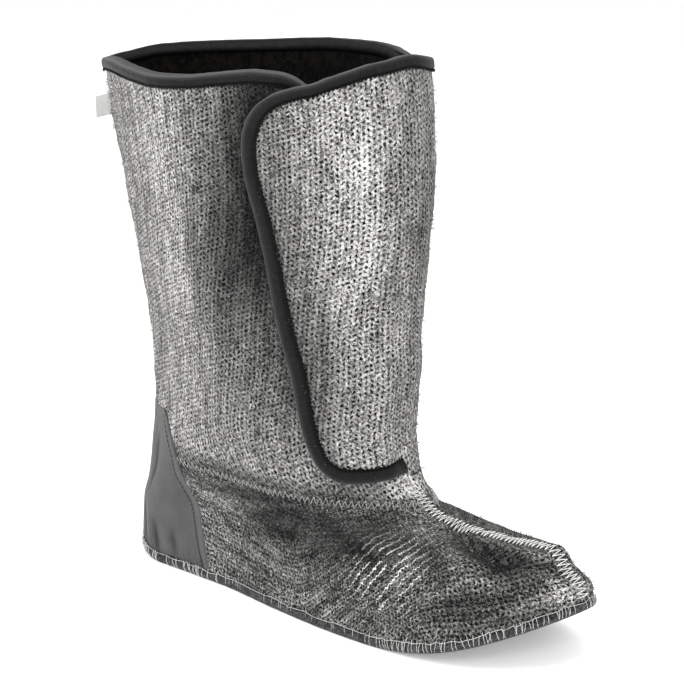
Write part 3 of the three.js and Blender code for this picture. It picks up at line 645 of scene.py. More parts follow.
FOOT_SPOTS = [
    (0.06, (40, 40, 22), (20, -40, 26)),
    (-0.08, (34, 30, 12), (108, -44, 54)),
    (-0.06, (30, 30, 10), (160, -42, 52)),
    (0.03, (24, 30, 16), (185, -44, 42)),
    (-0.05, (16, 20, 10), (160, -42, 48)),
    (0.05, (60, 40, 10), (110, -48, 12)),
    (0.07, (16, 14, 6), (222, -31, 38)),
    (-0.06, (20, 16, 7), (232, -30, 26)),
    (-0.09, (10, 8, 7), (236, -11, 50)),
    (0.18, (9, 13, 10), (258, -4, 39)),
    (0.14, (14, 10, 5), (178, -10, 61)),
    (0.03, (26, 6, 10), (226, -6, 52)),
    (0.06, (28, 30, 8), (50, -42, 50)),
    (-0.06, (40, 30, 9), (125, -46, 40)),
    (-0.05, (22, 14, 10), (212, -14, 55)),
]
tone = 0.285 + patches(rows, FOOT_SPOTS)
# Painted shade and highlight: the tone is darkened along the troughs of the foot's folds and lightened along their
# ridges.
for depth, radius, places in FOOT_FOLDS:
    gap, share = distance_to_line(rows, places)
    shade = np.clip(-0.27 * depth, -0.1, 0.85) * np.exp(-((gap / radius) ** 2))
    tone = tone * (1 - shade * np.sin(np.pi * np.clip(share, 0.05, 0.95)))
line = patches(rows, [(1.1, (20, 30, 17), (176, -44, 40)), (0.18, (55, 40, 24), (40, -42, 32))])
climb = np.cumsum(np.linalg.norm(np.diff(outer, axis=0, prepend=outer[:1]), axis=2), axis=0)
climb = np.concatenate([climb, inner[..., 2]])
girth = np.concatenate([foot_width, 0 * inner[..., 0] + np.arange(inner.shape[1]) * 1.0])
inner_flag = np.concatenate([np.zeros(outer.shape[:2]), np.ones(inner.shape[:2])])
foot = mesh_piece(
    "foot_felt", rows.reshape(-1, 3),
    grid_faces(len(rows), rows.shape[1], round_rows=True, round_columns=True), foot_felt,
    {"cloth": foot_knit(rows, climb, girth).reshape(-1, 3), "tone": tone.ravel(),
     "line": line.ravel(), "inner": inner_flag.ravel()})
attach(foot, "root")
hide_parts("upper")

# Shaft felt
# The shaft is light grey knitted felt in two panels. The outer panel runs from the back seam to a
# free edge under the flap. The inner panel runs round the front, and its end is the wrap flap.
FLAP_TOP_WIDTH = 108.0
FLAP_BOTTOM_WIDTH = 45.5
FLAP_BOTTOM = 77.5
FLAP_TOP_RADIUS = 66.0
FLAP_BOTTOM_RADIUS = 13.0
FLAP_LIFT_LOW = 6.8
FLAP_LIFT_TOP = 1.5
LIFT_START = 4.0
RAMP = 12.0
TAPE_END_WIDTH = 19.0
UNDERLAP_TOP_WIDTH = 58.0
UNDERLAP_BOTTOM_WIDTH = 22.0
UNDERLAP_RADIUS = 18.0
SLIT_LEVEL = 125.0
TUCK_LOW = 2.2
TUCK_TOP = 9.5
TUCK_RUN = 55.0
TUCK_START = 10.0

WALE = 5.4
shaft_felt = felt_finish("shaft_felt", WALE, 2.7, 0.5, 1.3, 0.66, 0.001)


def rounded_path(corners, count):
    """Evenly spaced points of a path of straight stretches and parabola corners, each corner given
    as a width, a level and the distance from the corner at which its curve starts and ends."""
    corners = [np.array(corner, float) for corner in corners]
    pieces = [corners[0][None, :2]]
    u = np.linspace(0, 1, 60)[:, None]
    for before, corner, after in zip(corners, corners[1:], corners[2:]):
        start = corner[:2] + unit(before[:2] - corner[:2]) * corner[2]
        end = corner[:2] + unit(after[:2] - corner[:2]) * corner[2]
        pieces.append((1 - u) ** 2 * start + 2 * u * (1 - u) * corner[:2] + u ** 2 * end)
    pieces.append(corners[-1][None, :2])
    path = np.concatenate(pieces)
    length = np.concatenate([[0], np.cumsum(np.linalg.norm(np.diff(path, axis=0), axis=1))])
    even = np.linspace(0, length[-1], count)
    return np.stack([np.interp(even, length, path[:, i]) for i in (0, 1)], axis=1), length[-1]


FLAP_CORNERS = [(FLAP_TOP_WIDTH, SHAFT_HEIGHT, FLAP_TOP_RADIUS),
                (FLAP_BOTTOM_WIDTH, FLAP_BOTTOM, FLAP_BOTTOM_RADIUS)]
flap_edge, _ = rounded_path([(0, SHAFT_HEIGHT, 0), *FLAP_CORNERS, (0, FLAP_BOTTOM, 0)], 2000)
underlap_edge, _ = rounded_path(
    [(200, SHAFT_HEIGHT, 0), (UNDERLAP_TOP_WIDTH, SHAFT_HEIGHT, UNDERLAP_RADIUS),
     (UNDERLAP_BOTTOM_WIDTH, SLIT_LEVEL, 0)], 2000)


def flap_width(level):
    widest = flap_edge[:, 0].argmax()
    return np.interp(level, flap_edge[widest:, 1][::-1], flap_edge[widest:, 0][::-1],
                     right=0) * (level <= flap_edge[widest, 1]) + np.interp(
        level, flap_edge[:widest + 1, 1][::-1], flap_edge[:widest + 1, 0][::-1]) * (level > flap_edge[widest, 1])


def underlap_width(level):
    start = (underlap_edge[:, 1] < SHAFT_HEIGHT - 1e-6).argmax()
    edge = np.interp(level, underlap_edge[start:, 1][::-1], underlap_edge[start:, 0][::-1])
    return mix(0.0, edge, smooth(level, SLIT_LEVEL - 8, SLIT_LEVEL + 4))


def flap_share(level):
    return smooth(level, FLAP_BOTTOM, mix(ANKLE_LEVEL, CALF_LEVEL, 0.75))


def flap_lift(width, level):
    return mix(FLAP_LIFT_LOW, FLAP_LIFT_TOP, flap_share(level)) * smooth(width, LIFT_START, LIFT_START + RAMP)


def tuck(width, level):
    """How far the outer panel lies inside the last, to make room for the flap."""
    edge = mix(FLAP_BOTTOM_WIDTH, FLAP_TOP_WIDTH,
               np.clip((level - FLAP_BOTTOM) / (SHAFT_HEIGHT - FLAP_BOTTOM), 0, 1))
    across = 1 - smooth(width, edge, edge + TUCK_RUN)
    upward = smooth(level, SEAM_LEVEL, FLAP_BOTTOM - 2)
    front = smooth(width, TUCK_START, TUCK_START + RAMP)
    return mix(TUCK_LOW, TUCK_TOP, flap_share(level)) * across * upward * front * (width > 0)


def felt_sheet(name, outer, inner, finish, values):
    """A closed sheet: a fine outer grid, a coarse inner grid with the same rows, and a strip round
    all four edges, where one inner step meets several outer ones."""
    rows, columns = outer.shape[:2]
    coarse = inner.shape[1]
    step = (columns - 1) // (coarse - 1)
    first = rows * columns
    faces = grid_faces(rows, columns)
    faces += [face[::-1] for face in grid_faces(rows, coarse, first)]
    for j, k in ((0, 0), (columns - 1, coarse - 1)):
        for i in range(rows - 1):
            strip = [i * columns + j, first + i * coarse + k,
                     first + (i + 1) * coarse + k, (i + 1) * columns + j]
            faces.append(strip[::-1] if j == 0 else strip)
    for i in (0, rows - 1):
        for k in range(coarse - 1):
            fan = [i * columns + k * step + n for n in range(step + 1)]
            fan += [first + i * coarse + k + 1, first + i * coarse + k]
            faces.append(fan[::-1] if i == 0 else fan)
    points = np.concatenate([outer.reshape(-1, 3), inner.reshape(-1, 3)])
    return mesh_piece(name, points, faces, finish, values)


# Soft folds of the shaft: the ankle creases where the leg meets the instep, and a slack hollow
# beside the flap.
SHAFT_FOLDS = [
    (-1.2, 10.0, [(60, -45, 150), (80, -46, 190), (85, -50, 230)]),
    (1.0, 14.0, [(20, -44, 120), (12, -46, 180), (5, -52, 240)]),
    (-0.8, 6.0, [(-20, -22, 112), (10, -36, 108), (40, -44, 104)]),
    (0.8, 7.0, [(-10, -28, 98), (20, -40, 94), (50, -46, 92)]),
]


def rib(across):
    """Raised wales of the knit: a cosine wave across them."""
    return 0.14 * np.cos(2 * np.pi * across / WALE)


def near_rise(width, level):
    """How far the outer panel's rim stands above the last's top beside the flap."""
    rise = monotone_curve([58, 75, 90, 105, 120, 135, 150, 180, 210, 230],
                          [2, 3.3, 3.9, 2.5, 0.7, -0.6, -0.6, 0.4, 0.7, 0], width)
    return rise * smooth(level, 255, SHAFT_HEIGHT) * (width > 0)


# Lightness of both panels: the felt's own uneven tone, with painted light and shade in it. A painted highlight runs
# down the middle of the flap and along the back rib, and painted shade lies in the hollow beside the flap.
SHAFT_TONE = 0.49
OUTER_SPOTS = [
    (0.06, (22, 60, 100), (20, -60, 200)),
    (-0.13, (22, 40, 46), (60, -52, 182)),
    (-0.44, (34, 60, 80), (100, -50, 220)),
    (-0.10, (12, 40, 26), (108, -45, 118)),
    (-0.10, (22, 60, 22), (92, -50, 268)),
    (-0.06, (30, 60, 30), (60, -45, 110)),
    (0.24, (14, 16, 7), (158, -6, 70)),
]
INNER_SPOTS = [
    (0.14, (14, 16, 76), (140, -27, 215)),
    (-0.11, (12, 16, 70), (108, -46, 210)),
    (-0.12, (14, 18, 60), (116, -44, 110)),
    (-0.10, (16, 20, 84), (152, 6, 225)),
    (-0.06, (14, 14, 120), (100, -58, 230)),
    (-0.11, (13, 14, 56), (126, -35, 135)),
    (0.06, (14, 14, 20), (150, -14, 95)),
    (0.24, (14, 16, 7), (158, -6, 70)),
]


def shaft_panel(name, edge, other, columns, coarse, panel_offset, rise, edge_distance, spots):
    levels = np.concatenate([np.linspace(SEAM_LEVEL - 0.3, SHAFT_HEIGHT - 6, 236),
                             np.linspace(SHAFT_HEIGHT - 5, SHAFT_HEIGHT, 8)])
    start, stop = edge(levels), other(levels)
    level = levels[:, None]

    def face(count):
        share = np.linspace(0, 1, count)[None, :]
        return mix(start[:, None], stop[:, None], share), level * np.ones_like(share)

    width, height = face(columns)
    base = wrap(width, height, 0)
    taper = smooth(edge_distance(width, height), 3, 14)
    bump = rib(width) + 0.45 * lumps(base, 26, 11) + 0.2 * lumps(base, 5, 12)
    low_edge = 1 - smooth(height, SEAM_LEVEL, SEAM_LEVEL + 4)
    fuzz = (bump + creases(base, SHAFT_FOLDS)) * taper * (1 - low_edge) + 0.25 * lumps(base, 3, 13) * low_edge
    fuzz = fuzz * (1 - under_patch(width, height, 0)) - 1.8 * under_patch(width, height, 12)
    outer = wrap(width, height + rise(width, height), panel_offset(width, height) + fuzz)
    cloth = np.stack([width, height, np.zeros_like(height)], axis=-1) + (400, 0, 0)
    # The spots add painted light and shade to the felt's own tone.
    tone = SHAFT_TONE + patches(base, spots) - 0.16 * (1 - smooth(height, SEAM_LEVEL + 2, SEAM_LEVEL + 12))
    width_in, height_in = face(coarse)
    wall = wall_near_edge(FELT_WALL, np.clip(edge_distance(width_in, height_in), 0, None))
    inner = wrap(width_in, height_in + rise(width_in, height_in), panel_offset(width_in, height_in) - wall)
    cloth_in = np.stack([width_in + 400, height_in, 0 * height_in], axis=-1)
    zeros = np.zeros(inner[..., 0].size)
    values = {
        "cloth": np.concatenate([cloth.reshape(-1, 3), cloth_in.reshape(-1, 3)]),
        "tone": np.concatenate([tone.ravel(), zeros + 0.3]),
        "line": np.concatenate([np.zeros(tone.size), zeros]),
        # The top row of the outer face takes the inner face's painted shade too.
        "inner": np.concatenate([1.0 * (height >= SHAFT_HEIGHT - 0.5).ravel(), zeros + 1]),
    }
    piece = felt_sheet(name, outer, inner, shaft_felt, values)
    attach(piece, "root")
    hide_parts("upper")
    return piece


outer_panel = shaft_panel(
    "outer_panel", lambda level: half_girth(NEAR, level), underlap_width, 241, 31,
    lambda width, level: -tuck(width, level), near_rise,
    lambda width, level: np.minimum(SHAFT_HEIGHT - level, np.where(
        level > SLIT_LEVEL, np.abs(width - underlap_width(level)), 99)), OUTER_SPOTS)

inner_panel = shaft_panel(
    "inner_panel", lambda level: np.where(level > FLAP_BOTTOM, flap_width(level), 0.0),
    lambda level: -half_girth(FAR, level), 337, 43, flap_lift, lambda width, level: 0,
    lambda width, level: np.minimum(SHAFT_HEIGHT - level, np.where(
        level > FLAP_BOTTOM, np.minimum(flap_width(level) - width, level - FLAP_BOTTOM + 20 * (width < 0)), 99)),
    INNER_SPOTS)


# Bindings
# Folded black tape is sewn over both free edges. One strip runs from the back seam along the inner
# panel's rim and round the flap, the other along the outer panel's rim and down its hidden edge.
TAPE_DEPTH = 6.5
RIM_TAPE = 0.74
tape_section = np.array([
    (6.6, 0.15), (6.95, 0.7), (6.4, 1.35), (5.0, 1.95), (3.2, 2.2), (1.2, 2.15), (-0.7, 1.7),
    (-1.9, 0.6), (-2.2, -2.2)])


def slimness(level):
    """Share of the tape's full section: less on the rim, and a little less round the low corner."""
    return mix(RIM_TAPE, 1.0, smooth(SHAFT_HEIGHT - level, 1, 26)) * mix(0.86, 1.0, smooth(level, 90, 140))


def tape_points(path, side, panel_offset, rise):
    """A closed section carried along the path, slimmer on the rim. The outer leg swells over the
    felt, turns round its edge and comes back down the inner face, and the section closes through a
    slot for the felt."""
    tangent = unit(np.gradient(path, axis=0))
    inward = np.stack([tangent[:, 1], -tangent[:, 0]], axis=1) * side

    slim = slimness(path[:, 1])
    flat = mix(0.2, 1.0, smooth(np.arange(len(path)), 0, 14))

    def at(depth, offset):
        def on_panel(reach):
            place = path + inward * np.asarray(reach)[:, None]
            level = np.minimum(place[:, 1], SHAFT_HEIGHT)
            lifted = level + rise(place[:, 0], level)
            swell = offset * slim * flat if offset > 0 else offset
            return wrap(place[:, 0], lifted, panel_offset(place[:, 0], level) + swell)
        edge = on_panel(max(depth, 0.0) * slim)
        if depth >= 0:
            return edge
        return edge + unit(edge - on_panel(np.full(len(path), 2.0))) * (-depth * slim)[:, None]

    def inside(depth):
        return -wall_near_edge(FELT_WALL, max(depth, 0.0))

    outer = [at(depth, offset) for depth, offset in tape_section[:-1]]
    top = [at(tape_section[-1, 0], inside(0) / 2)]
    inner = [at(depth, inside(depth) - offset) for depth, offset in tape_section[-2::-1]]
    slot = [at(6.4, inside(6.4) - 0.05), at(0.2, inside(0) - 0.05), at(-0.4, inside(0) / 2),
            at(0.2, 0.05), at(6.4, 0.05)]
    return np.stack(outer + top + inner + slot, axis=1)


tape_finish = Finish("binding_tape", Roughness=0.45, Specular_IOR_Level=0.1)
tape_along, tape_round, tape_light_and_shade = tape_finish.split(tape_finish.attribute("cloth", "Vector"))
tape_rib = ((tape_along * (1 / 0.85) + tape_round * 0.25).fraction() - 0.5)
tape_rib = 1.0 - tape_rib * tape_rib * 4.0
tape_dust = tape_finish.noise(tape_finish.place(), 0.5, 3.0, 0.65)
# The third cloth number paints light on the tape: a painted highlight on the turn of its outer edge, and painted
# shade in the groove along its inner edge by the stitches.
tape_tone = (tape_rib * 0.04 + tape_dust.ramp(0.4, 0.8) * 0.05 + tape_light_and_shade).bound()
tape_finish.colour(tape_finish.blend(tape_tone, grey(0.001, -0.03), grey(0.12, -0.03)))
tape_finish.relief(tape_rib * 0.6 + tape_dust * 0.5, 0.00025)


def binding(name, corners, side, panel_offset, rise, node):
    path, length = rounded_path(corners, 2)
    path, length = rounded_path(corners, int(length / 1.3))
    points = tape_points(path, side, panel_offset, rise)
    along = np.linspace(0, length, len(path))
    swell = 0.12 * lumps(points, 7, 31)[..., None]
    middle = points.mean(1, keepdims=True)
    points = points + unit(points - middle) * swell
    stations, sides = points.shape[:2]
    faces = grid_faces(stations, sides, round_columns=True)
    faces += [list(range(sides))[::-1], list(range((stations - 1) * sides, stations * sides))]
    around = np.arange(sides) * 1.1
    # Painted highlight on the turn of the tape's outer edge, and painted shade along its inner edge by the stitches.
    shade = np.interp(np.arange(sides), [0, 2, 3, 5, 6, 7, 8, 10], [-0.3, -0.2, 0, 0.03, 0.15, 0.6, 0.25, 0])
    cloth = np.stack(np.broadcast_arrays(along[:, None], around[None, :], shade[None, :]), axis=-1)
    piece = mesh_piece(name, points.reshape(-1, 3), faces, tape_finish.material,
                       {"cloth": cloth.reshape(-1, 3)})
    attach(piece, "root")
    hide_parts(node)
    return path


def no_rise(width, level):
    return 0.0


def tucked(width, level):
    return -tuck(width, level)


flap_path = binding(
    "flap_binding_tape",
    [(-half_girth(FAR, SHAFT_HEIGHT), SHAFT_HEIGHT, 0), *FLAP_CORNERS, (20, FLAP_BOTTOM, 6), (3, 80.5, 0)],
    FAR, flap_lift, no_rise, "flap_binding")
collar_path = binding(
    "collar_binding_tape",
    [(half_girth(NEAR, SHAFT_HEIGHT), SHAFT_HEIGHT, 0),
     (UNDERLAP_TOP_WIDTH, SHAFT_HEIGHT, UNDERLAP_RADIUS),
     (UNDERLAP_BOTTOM_WIDTH, SLIT_LEVEL + 2 * TAPE_DEPTH, 0)],
    NEAR, tucked, near_rise, "collar_binding")


# Sewing threads
# The tapes are sewn down with a black zigzag along their inner edge. Grey zigzags close the seam on
# top of the foot and the one between foot and shaft, and white thread is oversewn round the sole.
def threads(name, centres, normals, radius, finish, sides=5):
    """Round threads: a circle of the given radius round each point of each line of points, with its
    plane square to the line, closed at both ends."""
    count, steps = centres.shape[:2]
    along = unit(np.gradient(centres, axis=1))
    across = unit(np.cross(along, normals))
    out = np.cross(across, along)
    angle = np.linspace(0, 2 * np.pi, sides, endpoint=False)[:, None]
    radius = np.broadcast_to(radius, (count, steps))[:, :, None, None]
    rings = centres[:, :, None] + radius * (np.cos(angle) * out[:, :, None] + np.sin(angle) * across[:, :, None])
    tube = np.array(grid_faces(steps, sides, round_columns=True))
    starts = np.arange(count)[:, None, None] * steps * sides
    faces = (tube[None] + starts).reshape(-1, 4).tolist()
    ring = np.arange(sides)
    faces += (ring[None, ::-1] + starts[:, 0]).tolist()
    faces += (ring[None, :] + starts[:, 0] + (steps - 1) * sides).tolist()
    piece = mesh_piece(name, rings.reshape(-1, 3), faces, finish)
    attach(piece, "root")
    return piece


def arches(starts, ends, normals, height, steps=5):
    """Stitches: from start to end, raised in the middle by half a sine wave."""
    share = np.linspace(0, 1, steps)[None, :, None]
    centres = mix(starts[:, None], ends[:, None], share)
    return centres + normals[:, None] * height * np.sin(np.pi * share), np.repeat(normals[:, None], steps, 1)


def thread_finish(name, dark, light, rough=0.7):
    finish = Finish(name, Roughness=rough, Sheen_Weight=0.02, Specular_IOR_Level=0.12)
    twist = finish.noise(finish.place(), 1.6, 2.0, 0.6)
    finish.colour(finish.blend(twist.ramp(0.35, 0.65), dark, light))
    finish.relief(twist, 0.0001)
    return finish.material


black_thread = thread_finish("black_thread", grey(0.001), grey(0.004))
seam_thread = thread_finish("seam_thread", grey(0.2), grey(0.55, 0.02))
grey_thread = thread_finish("grey_thread", grey(0.45), grey(0.9, 0.02))
white_thread = thread_finish("white_thread", grey(0.3), grey(0.68, 0.02))


def even(path, gap):
    length = np.concatenate([[0], np.cumsum(np.linalg.norm(np.diff(path, axis=0), axis=1))])
    at = np.arange(gap / 2, length[-1], gap)
    return np.stack([np.interp(at, length, path[:, i]) for i in range(path.shape[1])], axis=1)


def normals_at(width, level):
    side, t = place_at(width, level)
    return form_normal(side, np.clip(t, 0.002, 0.998), level)


def zigzag(path, side, low, high, panel_offset, rise, lift):
    """Stitches that go to and fro between two distances inside an edge."""
    tangent = unit(np.gradient(path, axis=0))
    inward = np.stack([tangent[:, 1], -tangent[:, 0]], axis=1) * side
    depth = np.where(np.arange(len(path)) % 2 == 0, low, high)
    slim = slimness(path[:, 1])
    place = path + inward * (depth * slim)[:, None]
    level = np.minimum(place[:, 1], SHAFT_HEIGHT)
    points = wrap(place[:, 0], level + rise(place[:, 0], level), panel_offset(place[:, 0], level) + lift)
    return points[:-1], points[1:], normals_at(place[:-1, 0], level[:-1])


for name, path, side, offset, rise in (
        ("flap_binding_stitches", flap_path, FAR, flap_lift, no_rise),
        ("collar_binding_stitches", collar_path, NEAR, tucked, near_rise)):
    centres, normals = arches(*zigzag(even(path, 1.05)[8:], side, 5.9, 7.7, offset, rise, 1.1), 0.5)
    threads(name, centres, normals, 0.3, black_thread)

seam_dice = np.random.default_rng(21)
seam_widths = np.arange(half_girth(NEAR, SEAM_LEVEL) - 66, -half_girth(FAR, SEAM_LEVEL) + 66, -1.75)
seam_levels = SEAM_LEVEL + np.where(np.arange(len(seam_widths)) % 2 == 0, -1.9, 1.7)
seam_levels = seam_levels + seam_dice.normal(0, 0.35, len(seam_levels))
seam_offset = np.where(seam_levels > SEAM_LEVEL, 0.2, -0.9)
seam_lift = seam_offset + relief(seam_widths, SEAM_LEVEL) * 0.6 + 0.6
seam_lean = half_girth(NEAR, seam_levels) - half_girth(NEAR, SEAM_LEVEL)
seam_widths = seam_widths + seam_lean * np.clip(seam_widths / 12, -1, 1)
seam_points = wrap(seam_widths, seam_levels, seam_lift)
centres, normals = arches(seam_points[:-1], seam_points[1:], normals_at(seam_widths[:-1], seam_levels[:-1]), 0.4)
threads("shaft_seam_stitches", centres, normals, 0.19, seam_thread)

fine_levels = np.linspace(70, 9, 800)
ridge_line = form_point(NEAR, 0.98, fine_levels)
ridge_arc = np.concatenate([[0], np.cumsum(np.linalg.norm(np.diff(ridge_line, axis=0), axis=1))])
ridge_levels = np.interp(np.arange(0, ridge_arc[-1], 1.2), ridge_arc, fine_levels)
ridge_widths = np.where(np.arange(len(ridge_levels)) % 2 == 0, 1.2, 6.6)
ridge_widths = ridge_widths + seam_dice.normal(0, 0.3, len(ridge_widths))
ridge_points = foot_outer(ridge_widths, ridge_levels) + normals_at(ridge_widths, ridge_levels) * 0.3
centres, normals = arches(ridge_points[:-1], ridge_points[1:], normals_at(ridge_widths[:-1], ridge_levels[:-1]), 0.7)
threads("toe_seam_stitches", centres, normals, 0.24, grey_thread)

# Heel patch
# A piece of grey-black twill is wrapped round the back of the heel and sewn down along its turned
# hems. It wrinkles at the back edge, and is gathered where the sole's seam holds it.
twill = Finish("heel_twill", Roughness=0.5, Specular_IOR_Level=0.22)
across, along, twill_shade = twill.split(twill.attribute("cloth", "Vector"))
wale_line = (across * 0.62 + along * 0.78).fraction() - 0.5
wale_line = 1.0 - wale_line * wale_line * 4.0
weft = ((across * -1.2 + along * 0.9).fraction() - 0.5)
weft = 1.0 - weft * weft * 4.0
wear = twill.noise(twill.place(), 0.05, 3.0, 0.6)
speck = twill.noise(twill.place(), 0.9, 2.0, 0.6)
# twill_shade carries the patch's painted shade in its fold troughs and painted highlight on its ridges.
twill.colour(twill.blend((wale_line * 0.45 + weft * 0.15 + wear * 0.9 + speck * 0.5 + twill_shade - 0.4).bound(),
                         grey(0.012), grey(0.085)))
twill.relief(wale_line * 0.7 + weft * 0.3, 0.00022)

patch_levels = np.linspace(PATCH_BOTTOM, PATCH_TOP, 110)
patch_half = patch_half_width(patch_levels)
spread = np.linspace(-1, 1, 181)
spread = np.sign(spread) * np.abs(spread) ** 0.9
from_back = patch_half[:, None] * spread
patch_dip = PATCH_DIP * np.exp(-((from_back / 34) ** 2)) * smooth(patch_levels, 50, PATCH_TOP)[:, None]
patch_level = patch_levels[:, None] - patch_dip
patch_width = np.where(from_back > 0, -half_girth(FAR, patch_level) + from_back,
                       half_girth(NEAR, patch_level) + from_back)
patch_base = wrap(patch_width, patch_level, 0)
to_edge = patch_half[:, None] - np.abs(from_back)
hem = 0.9 * smooth(to_edge, 0, 0.8) * (1 - smooth(to_edge, HEM - 0.8, HEM + 0.2))
hem = hem * np.clip(patch_half[:, None] / 20, 0, 1)
PATCH_FOLDS = [(depth, radius, wrap(half_girth(NEAR, np.array(line)[:, 1]) - np.array(line)[:, 0],
                                    np.array(line, float)[:, 1], 0)) for depth, radius, line in [
    (-1.5, 2.2, [(16, 84), (20, 68), (22, 50)]),
    (1.0, 2.8, [(24, 80), (28, 62), (30, 44)]),
    (-1.0, 2.4, [(36, 70), (38, 54), (36, 38)]),
    (-1.3, 2.2, [(20, 38), (23, 24), (26, 10)]),
    (-1.2, 2.0, [(36, 30), (39, 18), (41, 7)]),
    (-1.1, 2.0, [(52, 24), (54, 14), (55, 7)]),
    (-1.0, 2.2, [(68, 20), (69, 13), (70, 7)]),
    (0.9, 2.6, [(44, 28), (47, 15), (48, 7)]),
    (0.8, 2.6, [(60, 22), (62, 13), (62, 7)]),
]]
low_gather = 0.35 * np.sin(from_back * 1.15) * (1 - smooth(patch_level, 8, 20))


def patch_stand(level, from_back):
    """How far the patch stands off the last: close at the foot, and bagged out at the back edge."""
    bag = 3.2 * np.exp(-(((level - 50) / 22) ** 2) - (from_back / 26) ** 2)
    return bag - 0.5 - 0.9 * (1 - smooth(level, 50, 66)) - 0.4 * smooth(level, 72, 86)


patch_offset = patch_stand(patch_level, from_back)
patch_outer = wrap(patch_width, patch_level, patch_offset + 1.0 + hem + low_gather
                   + creases(patch_base, PATCH_FOLDS) + 0.3 * lumps(patch_base, 30, 41))
inner_take = slice(None, None, 6)
patch_inner = wrap(patch_width[:, inner_take], patch_level[:, inner_take], patch_offset[:, inner_take] - 0.1)
# Painted shade along the patch's troughs and a painted highlight along its ridges. The raised hems are lighter, and
# a dark line runs along the inner edge of each hem.
patch_shade = creases(patch_base, PATCH_FOLDS) * 0.5 + 0.25 * hem - 0.5 * np.exp(-(((to_edge - HEM) / 0.7) ** 2))
patch_cloth = np.stack([from_back + 200, patch_level, patch_shade], axis=-1)
patch_values = {"cloth": np.concatenate([patch_cloth.reshape(-1, 3),
                                         patch_cloth[:, inner_take].reshape(-1, 3)])}
patch = felt_sheet("heel_patch_twill", patch_outer, patch_inner, twill.material, patch_values)
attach(patch, "root")
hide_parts("heel_patch")
for side in (-1, 1):
    hem_levels = np.arange(PATCH_BOTTOM + 1.5, PATCH_TOP - 5, 2.2)
    hem_half = np.interp(hem_levels, patch_levels, patch_half) - HEM * 0.97

    def hem_place(level, half):
        width = -half_girth(FAR, level) + half if side > 0 else half_girth(NEAR, level) - half
        return wrap(width, level, 1.85 + patch_stand(level, half)), normals_at(width, level)
    starts, normals_start = hem_place(hem_levels, np.maximum(hem_half, 1))
    stops, _ = hem_place(hem_levels + 1.5, np.maximum(np.interp(
        hem_levels + 1.5, patch_levels, patch_half) - HEM * 0.97, 1))
    centres, normals = arches(starts, stops, normals_start, 0.3)
    threads("heel_patch_stitches_%s" % ("inner" if side > 0 else "outer"), centres, normals, 0.2,
            black_thread)

# Label
# A blank white ribbon is folded into a flat tab, and its ends are caught in the back seam.
LABEL_DROP = 20.5
LABEL_HEIGHT = 14.5
LABEL_WIDTH = 12.0
ribbon = Finish("ribbon", Roughness=0.6, Sheen_Weight=0.2, Specular_IOR_Level=0.3)
ribbon_along, ribbon_up, _ = ribbon.split(ribbon.attribute("cloth", "Vector"))
weave = ((ribbon_up * 2.2).fraction() - 0.5)
weave = 1.0 - weave * weave * 4.0
ribbon_wear = ribbon.noise(ribbon.place(), 0.2, 3.0, 0.6)
ribbon.colour(ribbon.blend((weave * 0.3 + ribbon_wear * 0.9).bound(), grey(0.28), grey(0.46, 0.01)))
ribbon.relief(weave, 0.0001)
out = unit(np.array([-1, -0.12, -0.26]))
across = unit(np.array([0.12, -1.0, 0.0]))
turn = np.linspace(0, np.pi, 13)
run = np.concatenate([np.linspace(-1.5, LABEL_WIDTH - 0.9, 14), LABEL_WIDTH - 0.9 + 0.9 * np.sin(turn[1:-1]),
                      np.linspace(LABEL_WIDTH - 0.9, -1.5, 14)])
half = np.concatenate([np.full(14, 0.62), 0.62 * np.cos(turn[1:-1]), np.full(14, -0.62)])
label_share = np.linspace(0, 1, 17)[:, None]
label_level = SHAFT_HEIGHT - LABEL_DROP - LABEL_HEIGHT * (1 - label_share)
root = form_point(NEAR, 0.0, label_level)
curl = 0.9 * (run / LABEL_WIDTH) ** 2 * (1 - 1.4 * label_share)
label_points = root + out * run[None, :, None] + across * (half[None, :] + curl)[..., None]
label_faces = grid_faces(17, len(run), round_columns=True)
label_faces += [list(range(len(run)))[::-1], list(range(16 * len(run), 17 * len(run)))]
label_cloth = np.stack(np.broadcast_arrays(run[None, :] + 20, label_share * LABEL_HEIGHT, 0.0), axis=-1)
label = mesh_piece("label_ribbon", label_points.reshape(-1, 3), label_faces, ribbon.material,
                   {"cloth": label_cloth.reshape(-1, 3)})
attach(label, "root")
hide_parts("label")

# Sole felt
# The sole is a flat piece of dark needled felt, whose edge stands a little outside the foot and is
# oversewn with white thread, tightly at the heel and the forefoot.
SOLE_ROLL = 1.2
sole_felt = Finish("sole_felt", Roughness=0.95, Sheen_Weight=0.1, Specular_IOR_Level=0.1)
nap = sole_felt.noise(sole_felt.place(), 0.9, 3.0, 0.7)
tuft = sole_felt.noise(sole_felt.place(), 0.22, 2.0, 0.5)
sole_felt.colour(sole_felt.blend((nap.ramp(0.35, 0.75) * 0.8 + (tuft - 0.5) * 0.8).bound(),
                                 grey(0.012), grey(0.12)))
sole_felt.relief(nap, 0.0006)


def sole_rim(side, t, height, out):
    """A place on the sole's side: the last's outline at a height, moved out along the floor."""
    base = form_point(side, t, height)
    outward = form_normal(side, t, height) * (1, 1, 0)
    point = base + unit(outward) * np.asarray(out)[..., None]
    lift = floor_lift(point[..., 0] + HEEL_CENTRE, point[..., 1], 0.0)
    return np.concatenate([point[..., :2], (height + lift)[..., None]], axis=-1)


